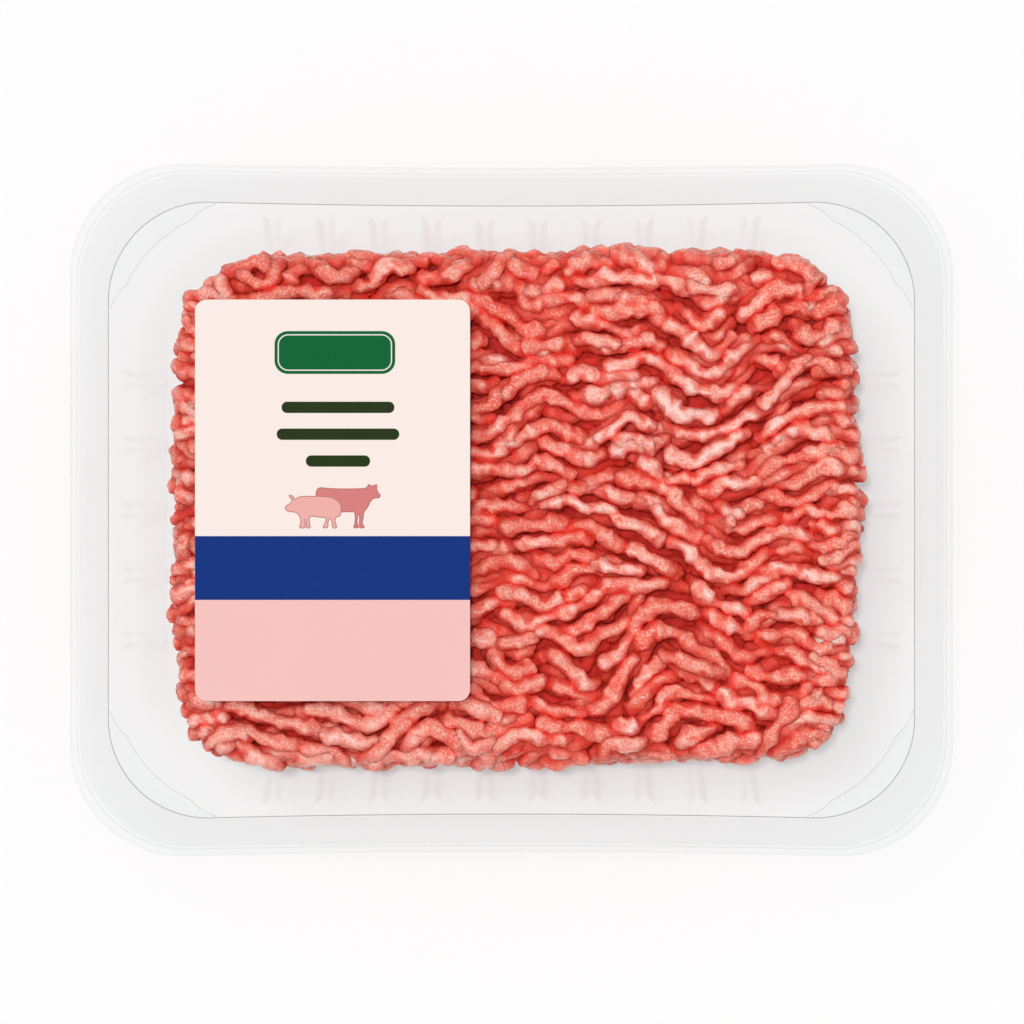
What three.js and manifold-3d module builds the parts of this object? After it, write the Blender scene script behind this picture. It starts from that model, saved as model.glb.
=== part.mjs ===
// A sealed retail tray of minced meat: a thin clear tray with fluted walls, a block of
// minced strands in it, a clear film sealed on its flange and a printed paper label on the film.
// Millimetres. +X runs along the tray, +Y across it, +Z up. The origin is at the centre
// of the tray's underside.
import * as THREE from "three";
import { mergeVertices } from "three/addons/utils/BufferGeometryUtils.js";
import Module from "manifold-3d";

const wasm = await Module();
wasm.setup();

// Tray
const TRAY_LENGTH = 227;
const TRAY_WIDTH = 178;
const TRAY_HEIGHT = 50;
const SHEET = 0.7;
const FLANGE_WIDTH = 9.8;
const RIM_WIDTH = 1.6;
const RIM_ROUNDING = 0.9;
const SKIRT_HEIGHT = 2.4;
const COLLAR_HEIGHT = 3.5;
const COLLAR_ROUNDING = 0.7;
const COLLAR_SLOPE = 0.3;
const LEDGE_WIDTH = 2.4;
const LEDGE_REACH = 5;
const FLANGE_CORNER = 28.5;
const COLLAR_CORNER = 25.6;
const WALL_CORNER = 33;
const BASE_CORNER = 25;
const WALL_RUN = 10.5;
const BASE_FILLET = 4.5;
const SIDE_BOW = 1;
const CORNER_STEPS = 6;
const LUG_HEIGHT = 1.1;
const LUG_ROOT = 0.3;
const LUG_CHORD = 156.5;

// Flutes: ribs that stand into the tray along each wall
const LONG_RIBS = { count: 10, pitch: 13.7 };
const SHORT_RIBS = { count: 5, pitch: 16.8 };
const RIB_WIDTH = 5.8;
const RIB_TIP = 2.8;
const RIB_DEPTH_TOP = 2.7;
const RIB_DEPTH_BASE = 1.2;

// Film and label
const FILM_GAP = 0.05;
const FILM_THICKNESS = 0.15;
const LABEL_LENGTH = 70.7;
const LABEL_WIDTH = 103.2;
const LABEL_CORNER = 3;
const LABEL_CENTRE = { x: -46, y: 2.5 };
const LABEL_THICKNESS = 0.14;
const LABEL_GAP = 0.03;
const PRINT_THICKNESS = 0.05;
const CURVE_STEPS = 3;
const BAND = { fromTop: 60.8, width: 16.4 };
const BADGE = { x: 1.2, fromTop: 13.6, length: 31, width: 11, corner: 3.4 };
const LINES = { fromTop: 27.7, pitch: 6.9, width: 2.9, lengths: [29, 31.5, 16.5], x: 1.4 };
const ANIMALS = { x: 1.2, fromTop: 58.4, gap: 0.35 };

// Minced meat: the block's corners start at +X +Y, and its sides bulge
const MINCE_LENGTH = 176.5;
const MINCE_WIDTH = 131;
const MINCE_CENTRE = { x: 1.2, y: 0.6 };
const MINCE_CORNERS = [19, 19, 16, 13];
const BULGE = { right: 0.06, left: 0.035, across: 0.03 };
const MINCE_FLOOR = 1.1;
const CORE_TOP = 42.4;
const CORE_POINTS = 62;
const TOP_ROUNDING = 7;
const BASE_LEAN = 4;
const LEAN_TOP = 19;
const BASE_ROUNDNESS = 7;

// The core's rings below and above its ridges: inset, height and sway
const FOOT_RINGS = [
  [8, MINCE_FLOOR, 0],
  [4.6, MINCE_FLOOR + 1.6, 0],
];
const SHOULDER_RINGS = [
  [1.3, CORE_TOP - 3.6, 0.2],
  [3.2, CORE_TOP - 1.6, 0.1],
  [7.5, CORE_TOP - 0.2, 0],
];
const RIDGES = { start: 4.2, pitch: 4.9, count: 7, depth: 1.3, sway: 0.5, waves: 5 };

// Gentle unevenness: waves round the block's outline, over its top and along its strands
const OUTLINE_WAVES = [
  { size: 0.5, turns: 7, twist: 0.21 },
  { size: 0.35, turns: 19, twist: -0.37 },
  { size: 0.3, turns: 31, twist: 1 },
];
const TOP_WAVES = [
  { size: 0.6, x: 71, y: 97 },
  { size: 0.4, x: 43, y: -37 },
];
const SLOPE_WAVES = [
  { size: 0.16, x: 24, y: 19 },
  { size: 0.12, x: 13, y: -31 },
];

// Strands: lengths are the shortest and the longest, spacing is from middle to middle
const STRAND = { radius: 2.25, sides: 5, spacing: 5.5, crowding: 0.86, step: 4.3, lengths: [26, 62] };
const STRAND_LIFT = { lowest: -0.3, range: 0.8, end: -0.5 };
const STRAND_SIZE = { smallest: 0.92, range: 0.16, end: 0.6 };
const STRAND_MARGIN = { start: 2.5, end: 1.4 };
const SEED_ROWS = { spacing: 1.65, passes: 3 };
const SEED_COLUMN = 15.5;

// Where the strands fold: each fold falls along x up to its point and rises after it,
// or the other way round, and fades with the distance across the strands.
const FOLD_REACH = { along: 1.3, across: 1.5, blend: 3, plateau: 1.4 };
const FOLDS = [
  { x: 51, y: 37, before: -0.95, left: 13, after: 0.8, right: 9, reach: 8 },
  { x: 59, y: -14, before: -0.85, left: 28, after: 0.55, right: 11, reach: 12 },
  { x: 44, y: -36, before: 1.5, left: 15, after: -0.85, right: 17, reach: 13 },
  { x: 32, y: 15, before: 0.6, left: 8, after: -0.6, right: 10, reach: 7 },
  { x: 60, y: 14, before: 0.55, left: 12, after: 0.2, right: 12, reach: 7 },
  { x: 11, y: -33, before: 0.45, left: 12, after: -1, right: 8, reach: 7 },
  { x: 22, y: -42, before: -0.6, left: 7, after: 0.9, right: 10, reach: 7 },
  { x: 4, y: 24, before: 0.5, left: 9, after: -0.4, right: 9, reach: 9 },
  { x: -50, y: -56, before: -0.6, left: 14, after: 0.9, right: 10, reach: 8 },
  { x: -74, y: 50, before: 0.5, left: 8, after: -0.7, right: 9, reach: 10 },
  { x: 76, y: -34, before: -0.35, left: 14, after: -0.4, right: 14, reach: 10 },
  { x: 40, y: 54, before: 0.5, left: 9, after: -0.7, right: 9, reach: 6 },
];

const COLOURS = {
  tray: { color: "#eef0f1", roughness: 0.12, transparent: true, opacity: 0.35 },
  film: { color: "#f6f8f9", roughness: 0.08, transparent: true, opacity: 0.18 },
  mince: { color: "#d65f52", roughness: 0.42 },
  paper: { color: "#fbede6", roughness: 0.55 },
  navy: { color: "#193780", roughness: 0.5 },
  rose: { color: "#f8c5c1", roughness: 0.5 },
  green: { color: "#0b6b3c", roughness: 0.5 },
  ink: { color: "#2b3f20", roughness: 0.55 },
  pig: { color: "#f2b1a9", roughness: 0.55 },
  cow: { color: "#d8807c", roughness: 0.55 },
};

// A repeatable stream of numbers from 0 to 1.
function randomFrom(seed) {
  let state = seed;
  return () => {
    state = (state + 0x6d2b79f5) | 0;
    let mixed = Math.imul(state ^ (state >>> 15), 1 | state);
    mixed = (mixed + Math.imul(mixed ^ (mixed >>> 7), 61 | mixed)) ^ mixed;
    return ((mixed ^ (mixed >>> 14)) >>> 0) / 4294967296;
  };
}

const mix = THREE.MathUtils.lerp;
const clamp = THREE.MathUtils.clamp;
const wave = (turns) => Math.sin(2 * Math.PI * turns);
const waves = (list, x, y) => list.reduce((sum, { size, x: a, y: b }) => sum + size * wave(x / a + y / b), 0);

// Solids and geometry

function solidOf(geometry) {
  const bare = geometry.clone();
  bare.deleteAttribute("normal");
  bare.deleteAttribute("uv");
  const merged = mergeVertices(bare, 1e-4);
  return new wasm.Manifold(
    new wasm.Mesh({
      numProp: 3,
      vertProperties: merged.attributes.position.array,
      triVerts: new Uint32Array(merged.index.array),
    }),
  );
}

function geometryOf(solid) {
  const made = solid.getMesh();
  const geometry = new THREE.BufferGeometry();
  geometry.setAttribute("position", new THREE.BufferAttribute(made.vertProperties, 3));
  geometry.setIndex(new THREE.BufferAttribute(made.triVerts, 1));
  geometry.computeVertexNormals();
  return geometry;
}

// Skins rings of equally many points. A ring runs anticlockwise as seen from the next one.
// A loop joins the last ring to the first; otherwise both ends are closed by a fan.
function skin(rings, loop = false) {
  const around = rings[0].length;
  const points = rings.flat();
  const faces = [];
  const spans = loop ? rings.length : rings.length - 1;
  for (let i = 0; i < spans; i++) {
    const low = i * around;
    const high = ((i + 1) % rings.length) * around;
    for (let j = 0; j < around; j++) {
      const next = (j + 1) % around;
      faces.push(low + j, low + next, high + j);
      faces.push(low + next, high + next, high + j);
    }
  }
  if (!loop) {
    for (const [ring, start, first] of [
      [rings[0], 0, true],
      [rings[rings.length - 1], (rings.length - 1) * around, false],
    ]) {
      const middle = new THREE.Vector3();
      for (const point of ring) middle.addScaledVector(point, 1 / around);
      points.push(middle);
      for (let j = 0; j < around; j++) {
        const next = (j + 1) % around;
        if (first) faces.push(start + next, start + j, points.length - 1);
        else faces.push(start + j, start + next, points.length - 1);
      }
    }
  }
  const geometry = new THREE.BufferGeometry().setFromPoints(points);
  geometry.setIndex(faces);
  return geometry;
}

// Tray

// The tray's outline, inset from its outer edge, as points in a plane. Ribs are bent into
// its straight sides by ribDepth, and the long sides bow in by bow.
function trayOutline(inset, corner, bow, ribDepth, cornerSteps) {
  const halfLength = TRAY_LENGTH / 2 - inset;
  const halfWidth = TRAY_WIDTH / 2 - inset;
  const points = [];
  const bowAt = (along) => bow * Math.max(0, 1 - (along / (halfLength - corner)) ** 2);
  const side = (ribs, toPoint) => {
    const stations =
      ribDepth === null
        ? [-0.4, 0, 0.4].map((share) => [share * ribs.pitch * ribs.count, 0])
        : Array.from({ length: ribs.count }, (_, i) => (i - (ribs.count - 1) / 2) * ribs.pitch).flatMap(
            (middle) => [
              [middle - RIB_WIDTH / 2, 0],
              [middle - RIB_TIP / 2, ribDepth],
              [middle + RIB_TIP / 2, ribDepth],
              [middle + RIB_WIDTH / 2, 0],
            ],
          );
    for (const [along, depth] of stations) points.push(toPoint(along, depth));
  };
  const arc = (centreX, centreY, from) => {
    for (let i = 0; i <= cornerSteps; i++) {
      const angle = from + (i / cornerSteps) * (Math.PI / 2);
      points.push([centreX + corner * Math.cos(angle), centreY + corner * Math.sin(angle)]);
    }
  };
  const arcX = halfLength - corner;
  const arcY = halfWidth - corner;
  side(SHORT_RIBS, (along, depth) => [halfLength - depth, along]);
  arc(arcX, arcY, 0);
  side(LONG_RIBS, (along, depth) => [-along, halfWidth - depth - bowAt(along)]);
  arc(-arcX, arcY, Math.PI / 2);
  side(SHORT_RIBS, (along, depth) => [-halfLength + depth, -along]);
  arc(-arcX, -arcY, Math.PI);
  side(LONG_RIBS, (along, depth) => [along, -halfWidth + depth + bowAt(along)]);
  arc(arcX, -arcY, 1.5 * Math.PI);
  return points;
}

const atHeight = (outline, z) => outline.map(([x, y]) => new THREE.Vector3(x, y, z));

// The flange with its turned-down rim, the collar below its inner edge and the ledge.
function flangeSolid() {
  const top = TRAY_HEIGHT;
  const ledge = top - COLLAR_HEIGHT;
  const ledgeEnd = FLANGE_WIDTH + LEDGE_WIDTH + LEDGE_REACH;
  const collar = FLANGE_WIDTH + COLLAR_SLOPE;
  const bend = SHEET + RIM_ROUNDING / 4;
  const section = [
    [0, top - SKIRT_HEIGHT, FLANGE_CORNER],
    [0, top - RIM_ROUNDING, FLANGE_CORNER],
    [RIM_ROUNDING / 2, top - RIM_ROUNDING / 4, FLANGE_CORNER],
    [RIM_WIDTH, top, FLANGE_CORNER],
    [FLANGE_WIDTH - COLLAR_ROUNDING, top, COLLAR_CORNER],
    [FLANGE_WIDTH, top - COLLAR_ROUNDING, COLLAR_CORNER],
    [collar, ledge, COLLAR_CORNER],
    [ledgeEnd, ledge, WALL_CORNER],
    [ledgeEnd, ledge - SHEET, WALL_CORNER],
    [collar - SHEET, ledge - SHEET, COLLAR_CORNER],
    [FLANGE_WIDTH - SHEET, top - SHEET - COLLAR_SLOPE, COLLAR_CORNER],
    [FLANGE_WIDTH - SHEET - COLLAR_SLOPE, top - SHEET, COLLAR_CORNER],
    [RIM_WIDTH, top - SHEET, FLANGE_CORNER],
    [SHEET, top - bend, FLANGE_CORNER],
    [SHEET, top - SKIRT_HEIGHT, FLANGE_CORNER],
  ];
  const rings = section.map(([inset, z, corner]) => {
    const outline = trayOutline(inset, corner, SIDE_BOW, null, CORNER_STEPS);
    return atHeight(outline, z);
  });
  return solidOf(skin(rings, true));
}

// The body of the tray as a filled shape, grown by grow: its outside, or the space inside it.
function bodySolid(grow, floor, roof) {
  const wallTop = FLANGE_WIDTH + LEDGE_WIDTH - grow;
  const wallBase = wallTop + WALL_RUN;
  const bevel = BASE_FILLET * (1 - Math.SQRT1_2);
  const ledge = TRAY_HEIGHT - COLLAR_HEIGHT;
  const levels = [
    [wallBase + BASE_FILLET, floor, BASE_CORNER - BASE_FILLET, 0, RIB_DEPTH_BASE * 0.5],
    [wallBase + bevel, floor + bevel, BASE_CORNER, 0, RIB_DEPTH_BASE],
    [wallBase, floor + BASE_FILLET, BASE_CORNER, 0, RIB_DEPTH_BASE],
    [wallTop, ledge, WALL_CORNER, SIDE_BOW, RIB_DEPTH_TOP],
  ];
  if (roof > ledge) levels.push([wallTop, roof, WALL_CORNER, SIDE_BOW, RIB_DEPTH_TOP]);
  const rings = levels.map(([inset, z, corner, bow, rib]) => {
    const outline = trayOutline(inset, corner, bow, rib, CORNER_STEPS);
    return atHeight(outline, z);
  });
  return solidOf(skin(rings));
}

// The raised shelves in the four corners, which keep stacked empty trays apart.
function cornerLugs() {
  const ledge = TRAY_HEIGHT - COLLAR_HEIGHT;
  const outline = trayOutline(FLANGE_WIDTH, COLLAR_CORNER, SIDE_BOW, null, CORNER_STEPS);
  const plate = solidOf(skin([atHeight(outline, ledge - LUG_ROOT), atHeight(outline, ledge + LUG_HEIGHT)]));
  const diamond = new THREE.CylinderGeometry(LUG_CHORD, LUG_CHORD, TRAY_HEIGHT, 4);
  diamond.rotateX(Math.PI / 2).translate(0, 0, ledge);
  return plate.subtract(solidOf(diamond));
}

function trayGeometry() {
  const inside = bodySolid(0, SHEET, TRAY_HEIGHT + COLLAR_HEIGHT);
  const outside = bodySolid(SHEET, 0, TRAY_HEIGHT - COLLAR_HEIGHT);
  return geometryOf(flangeSolid().add(cornerLugs()).add(outside).subtract(inside));
}

// Minced meat

// How much the block narrows at a place, as shares of its length and its width.
function narrowing(x, y) {
  const towardsEnd = (x - MINCE_CENTRE.x) / (MINCE_LENGTH / 2);
  const towardsSide = (y - MINCE_CENTRE.y) / (MINCE_WIDTH / 2);
  const along = 1 - (towardsEnd > 0 ? BULGE.right : BULGE.left) * towardsSide ** 2;
  return [along, 1 - BULGE.across * towardsEnd ** 4];
}

// The block's outline, inset, with a slightly uneven edge and corners rounder by roundness.
function minceOutline(inset, roundness, count, level) {
  const halfLength = MINCE_LENGTH / 2 - inset;
  const halfWidth = MINCE_WIDTH / 2 - inset;
  const corners = [
    [1, 1],
    [-1, 1],
    [-1, -1],
    [1, -1],
  ];
  const path = new THREE.CurvePath();
  const radii = MINCE_CORNERS.map((corner) => corner + roundness);
  corners.forEach(([signX, signY], i) => {
    const radius = radii[i];
    const centre = [signX * (halfLength - radius), signY * (halfWidth - radius)];
    const start = (i * Math.PI) / 2;
    path.add(new THREE.EllipseCurve(...centre, radius, radius, start, start + Math.PI / 2));
    const [nextX, nextY] = corners[(i + 1) % 4];
    const nextRadius = radii[(i + 1) % 4];
    const nextCentre = [nextX * (halfLength - nextRadius), nextY * (halfWidth - nextRadius)];
    const end = start + Math.PI / 2;
    path.add(
      new THREE.LineCurve(
        new THREE.Vector2(centre[0] + radius * Math.cos(end), centre[1] + radius * Math.sin(end)),
        new THREE.Vector2(
          nextCentre[0] + nextRadius * Math.cos(end),
          nextCentre[1] + nextRadius * Math.sin(end),
        ),
      ),
    );
  });
  return path
    .getSpacedPoints(count)
    .slice(0, count)
    .map((point, i) => {
      const swell = OUTLINE_WAVES.reduce(
        (sum, { size, turns, twist }) => sum + size * wave((turns * i) / count + level * twist),
        0,
      );
      const away = point.clone().normalize();
      const [along, across] = narrowing(MINCE_CENTRE.x + point.x, MINCE_CENTRE.y + point.y);
      return [
        MINCE_CENTRE.x + point.x * along + swell * away.x,
        MINCE_CENTRE.y + point.y * across + swell * away.y,
      ];
    });
}

// How far a place lies inside the block's outline, measured to its sides and round corners.
function depthInside(x, y) {
  const [along, across] = narrowing(x, y);
  const alongX = MINCE_LENGTH / 2 - Math.abs(x - MINCE_CENTRE.x) / along;
  const alongY = MINCE_WIDTH / 2 - Math.abs(y - MINCE_CENTRE.y) / across;
  const corner = MINCE_CORNERS[x > 0 ? (y > 0 ? 0 : 3) : y > 0 ? 1 : 2];
  if (alongX > corner || alongY > corner) return Math.min(alongX, alongY);
  return corner - Math.hypot(corner - alongX, corner - alongY);
}

// The height of the block's top, which rolls gently and rounds down at its edge.
function topHeight(x, y) {
  const inside = clamp(depthInside(x, y), 0, TOP_ROUNDING);
  const drop = TOP_ROUNDING - Math.sqrt(TOP_ROUNDING ** 2 - (TOP_ROUNDING - inside) ** 2);
  return CORE_TOP - drop + waves(TOP_WAVES, x, y);
}

// The core: a block whose sides are ridged like stacked strands.
function coreSolid() {
  const rings = [];
  const ring = (inset, z, level, sway) => {
    const roundness = BASE_ROUNDNESS * (1 - z / CORE_TOP);
    rings.push(
      minceOutline(inset, roundness, CORE_POINTS, level).map(
        ([x, y], i) => new THREE.Vector3(x, y, z + sway * wave((RIDGES.waves * i) / CORE_POINTS + level / 3)),
      ),
    );
  };
  for (const [inset, z, sway] of FOOT_RINGS) ring(inset, z, 0, sway);
  for (let i = 0; i < RIDGES.count; i++) {
    const z = MINCE_FLOOR + RIDGES.start + i * RIDGES.pitch;
    const lean = BASE_LEAN * Math.max(0, 1 - z / LEAN_TOP);
    ring(lean, z, i, RIDGES.sway);
    ring(lean + RIDGES.depth, z + RIDGES.pitch / 2, i + 0.5, RIDGES.sway);
  }
  for (const [inset, z, sway] of SHOULDER_RINGS) ring(inset, z, RIDGES.count, sway);
  return solidOf(skin(rings));
}

// The slope of the strands at a place: the folds' slopes and a small ripple.
function strandSlope(x, y) {
  let sum = 0;
  let weight = 0;
  for (const fold of FOLDS) {
    const along = x - fold.x;
    const across = (y - fold.y) / (FOLD_REACH.across * fold.reach);
    const length = FOLD_REACH.along * (along < 0 ? fold.left : fold.right);
    const fade = clamp(FOLD_REACH.plateau * (1 - Math.abs(along) / length), 0, 1);
    const near = fade * Math.exp(-across * across);
    sum += near * mix(fold.before, fold.after, clamp(along / FOLD_REACH.blend + 0.5, 0, 1));
    weight += near;
  }
  return sum / Math.max(weight, 1) + waves(SLOPE_WAVES, x, y);
}

// Lays strands evenly over the top of the block, each along the slope at its place.
function layStrands() {
  const random = randomFrom(11);
  const taken = [];
  const free = (x, y, gap) => taken.every(([a, b]) => (a - x) ** 2 + (b - y) ** 2 > gap * gap);
  const grow = (x, y, way, length) => {
    const points = [];
    let [atX, atY] = [x, y];
    for (let run = 0; run < length; run += STRAND.step) {
      const angle = Math.atan(strandSlope(atX, atY));
      atX += way * Math.cos(angle) * STRAND.step;
      atY += way * Math.sin(angle) * STRAND.step;
      if (depthInside(atX, atY) < STRAND_MARGIN.end) break;
      if (!free(atX, atY, STRAND.spacing * STRAND.crowding)) break;
      points.push([atX, atY]);
    }
    return points;
  };
  const strands = [];
  const [shortest, longest] = STRAND.lengths;
  for (let pass = 0; pass < SEED_ROWS.passes; pass++) {
    for (let y = -MINCE_WIDTH / 2; y < MINCE_WIDTH / 2; y += SEED_ROWS.spacing) {
      for (let x = -MINCE_LENGTH / 2; x < MINCE_LENGTH / 2; x += SEED_COLUMN) {
        const seedX = x + random() * SEED_COLUMN;
        const seedY = y + random();
        const length = mix(longest, shortest, (pass + random()) / SEED_ROWS.passes);
        if (depthInside(seedX, seedY) < STRAND_MARGIN.start) continue;
        if (!free(seedX, seedY, STRAND.spacing)) continue;
        const back = grow(seedX, seedY, -1, length / 2);
        const ahead = grow(seedX, seedY, 1, length - back.length * STRAND.step);
        const line = [...back.reverse(), [seedX, seedY], ...ahead];
        if ((line.length - 1) * STRAND.step < shortest / (pass + 1)) continue;
        taken.push(...line);
        strands.push(line);
      }
    }
  }
  return strands;
}

// A strand as a solid with few sides, its ends tapered and sunk.
function strandSolid(line, random) {
  const lift = STRAND_LIFT.lowest + STRAND_LIFT.range * random();
  const radius = STRAND.radius * (STRAND_SIZE.smallest + STRAND_SIZE.range * random());
  const kept = line.filter((_, i) => i % 2 === 0 || i === line.length - 1);
  const rings = kept.map(([x, y], i) => {
    const [beforeX, beforeY] = kept[Math.max(i - 1, 0)];
    const [afterX, afterY] = kept[Math.min(i + 1, kept.length - 1)];
    const along = new THREE.Vector2(afterX - beforeX, afterY - beforeY).normalize();
    const end = i === 0 || i === kept.length - 1;
    const size = radius * (end ? STRAND_SIZE.end : 1);
    const z = topHeight(x, y) + lift + (end ? STRAND_LIFT.end : 0);
    return Array.from({ length: STRAND.sides }, (_, side) => {
      const angle = (side / STRAND.sides + 0.25) * 2 * Math.PI;
      const across = size * Math.cos(angle);
      return new THREE.Vector3(x - across * along.y, y + across * along.x, z + size * Math.sin(angle));
    });
  });
  return solidOf(skin(rings));
}

function minceGeometry() {
  const random = randomFrom(5);
  const strands = layStrands().map((line) => strandSolid(line, random));
  return geometryOf(wasm.Manifold.union([coreSolid(), ...strands]));
}

// Film and label

function roundedShape(length, width, corner) {
  const [x, y] = [length / 2, width / 2];
  const shape = new THREE.Shape();
  shape.absarc(x - corner, y - corner, corner, 0, Math.PI / 2);
  shape.absarc(-x + corner, y - corner, corner, Math.PI / 2, Math.PI);
  shape.absarc(-x + corner, -y + corner, corner, Math.PI, 1.5 * Math.PI);
  shape.absarc(x - corner, -y + corner, corner, 1.5 * Math.PI, 2 * Math.PI);
  return shape;
}

function plate(shape, thickness) {
  const settings = { depth: thickness, bevelEnabled: false, curveSegments: CURVE_STEPS };
  return new THREE.ExtrudeGeometry(shape, settings);
}

// The film: cut along the rim, flat and taut over the flange.
function filmGeometry() {
  const outline = trayOutline(RIM_WIDTH, FLANGE_CORNER - RIM_WIDTH / 2, SIDE_BOW, null, 2 * CORNER_STEPS);
  return skin([atHeight(outline, 0), atHeight(outline, FILM_THICKNESS)]);
}

// The printed panel at the label's foot, with the label's own round corners.
function panelGeometry() {
  const width = LABEL_WIDTH - BAND.fromTop - BAND.width;
  const [x, y] = [LABEL_LENGTH / 2, width / 2];
  const shape = new THREE.Shape();
  shape.moveTo(x, y);
  shape.lineTo(-x, y);
  shape.absarc(-x + LABEL_CORNER, -y + LABEL_CORNER, LABEL_CORNER, Math.PI, 1.5 * Math.PI);
  shape.absarc(x - LABEL_CORNER, -y + LABEL_CORNER, LABEL_CORNER, 1.5 * Math.PI, 2 * Math.PI);
  return plate(shape, PRINT_THICKNESS);
}

// Joins flat shapes into one printed figure.
function printed(shapes) {
  return wasm.Manifold.union(shapes.map((shape) => solidOf(plate(shape, PRINT_THICKNESS))));
}

function oval(x, y, halfLength, halfWidth, tilt = 0) {
  const shape = new THREE.Shape();
  shape.absellipse(x, y, halfLength, halfWidth, 0, 2 * Math.PI, false, tilt);
  return shape;
}

function polygon(...corners) {
  return new THREE.Shape(corners.map(([x, y]) => new THREE.Vector2(x, y)));
}

const leg = (x, top, halfWidth) =>
  polygon([x - halfWidth, 0], [x + halfWidth, 0], [x + halfWidth * 1.3, top], [x - halfWidth * 1.3, top]);

// A plain pig that faces left, standing on y 0, each form grown by grow.
function pigSolid(grow) {
  return printed([
    oval(-5, 4.6, 5 + grow, 2.7 + grow),
    oval(-9.6, 4.9, 1.9 + grow, 1.6 + grow),
    oval(-11.3, 4.5, 0.9 + grow, 0.75 + grow),
    oval(-9.2, 6.6, 0.6 + grow, 1 + grow, 0.5),
    oval(-0.1, 5.8, 1 + grow, 0.35 + grow, 0.6),
    ...[-8.2, -6.6, -2.8, -1.3].map((x) => leg(x, 3.4, 0.55 + grow)),
  ]);
}

// A plain cow that faces right behind the pig.
function cowSolid() {
  return printed([
    oval(3.6, 7.1, 6.4, 2.5),
    polygon([7.5, 5.5], [11.2, 8.2], [9.6, 10], [5.5, 9.2]),
    oval(11.3, 8.5, 2.2, 1.2, -0.5),
    oval(9.6, 10.4, 0.8, 0.4, 0.5),
    polygon([10.4, 9.4], [11.2, 9.2], [11.7, 10.9]),
    ...[1.3, 3.1, 6.4, 8].map((x) => leg(x, 5.4, 0.6)),
  ]);
}

const root = new THREE.Group();
root.name = "meat_tray_pack";

function add(parent, name, geometry, look, x = 0, y = 0, z = 0) {
  const mesh = new THREE.Mesh(geometry, new THREE.MeshStandardMaterial({ metalness: 0, ...look }));
  mesh.name = name;
  mesh.position.set(x, y, z);
  parent.add(mesh);
  return mesh;
}

add(root, "tray", trayGeometry(), COLOURS.tray);
add(root, "mince", minceGeometry(), COLOURS.mince);
add(root, "film", filmGeometry(), COLOURS.film, 0, 0, TRAY_HEIGHT + FILM_GAP);

const label = new THREE.Group();
label.position.set(LABEL_CENTRE.x, LABEL_CENTRE.y, TRAY_HEIGHT + FILM_GAP + FILM_THICKNESS + LABEL_GAP);
root.add(label);

const labelTop = LABEL_WIDTH / 2;
add(
  label,
  "label",
  plate(roundedShape(LABEL_LENGTH, LABEL_WIDTH, LABEL_CORNER), LABEL_THICKNESS),
  COLOURS.paper,
);

function addPrint(name, geometry, look, x, y) {
  add(label, name, geometry, look, x, y, LABEL_THICKNESS);
}

const bandMiddle = labelTop - BAND.fromTop - BAND.width / 2;
const panelMiddle = (bandMiddle - BAND.width / 2 - labelTop) / 2;
const bandShape = polygon(
  [LABEL_LENGTH / 2, BAND.width / 2],
  [-LABEL_LENGTH / 2, BAND.width / 2],
  [-LABEL_LENGTH / 2, -BAND.width / 2],
  [LABEL_LENGTH / 2, -BAND.width / 2],
);
addPrint("label_band", plate(bandShape, PRINT_THICKNESS), COLOURS.navy, 0, bandMiddle);
addPrint("label_panel", panelGeometry(), COLOURS.rose, 0, panelMiddle);
addPrint(
  "label_badge",
  plate(roundedShape(BADGE.length, BADGE.width, BADGE.corner), PRINT_THICKNESS),
  COLOURS.green,
  BADGE.x,
  labelTop - BADGE.fromTop,
);
LINES.lengths.forEach((length, i) => {
  addPrint(
    `label_line_${i + 1}`,
    plate(roundedShape(length, LINES.width, LINES.width / 2 - 0.05), PRINT_THICKNESS),
    COLOURS.ink,
    LINES.x,
    labelTop - LINES.fromTop - i * LINES.pitch,
  );
});
const footline = labelTop - ANIMALS.fromTop;
addPrint("label_pig", geometryOf(pigSolid(0)), COLOURS.pig, ANIMALS.x, footline);
addPrint(
  "label_cow",
  geometryOf(cowSolid().subtract(pigSolid(ANIMALS.gap))),
  COLOURS.cow,
  ANIMALS.x,
  footline,
);

export default root;
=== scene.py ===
"""Looks of a sealed retail tray of minced meat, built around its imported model, in metres."""

import math

import bpy
import numpy as np
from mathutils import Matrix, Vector

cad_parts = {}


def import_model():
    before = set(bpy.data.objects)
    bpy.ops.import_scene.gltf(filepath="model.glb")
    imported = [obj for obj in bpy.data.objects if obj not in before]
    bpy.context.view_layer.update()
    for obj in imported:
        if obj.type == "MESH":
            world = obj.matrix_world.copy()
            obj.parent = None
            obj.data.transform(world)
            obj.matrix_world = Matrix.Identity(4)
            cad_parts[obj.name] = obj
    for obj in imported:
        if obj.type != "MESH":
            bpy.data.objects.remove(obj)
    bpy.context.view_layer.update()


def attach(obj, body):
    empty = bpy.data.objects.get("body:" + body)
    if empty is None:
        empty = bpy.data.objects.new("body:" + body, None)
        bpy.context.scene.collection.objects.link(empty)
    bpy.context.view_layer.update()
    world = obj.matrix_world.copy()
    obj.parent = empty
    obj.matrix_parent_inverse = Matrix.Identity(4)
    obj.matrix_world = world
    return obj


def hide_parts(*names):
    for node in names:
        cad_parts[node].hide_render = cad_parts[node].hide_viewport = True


MM = 0.001

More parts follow.
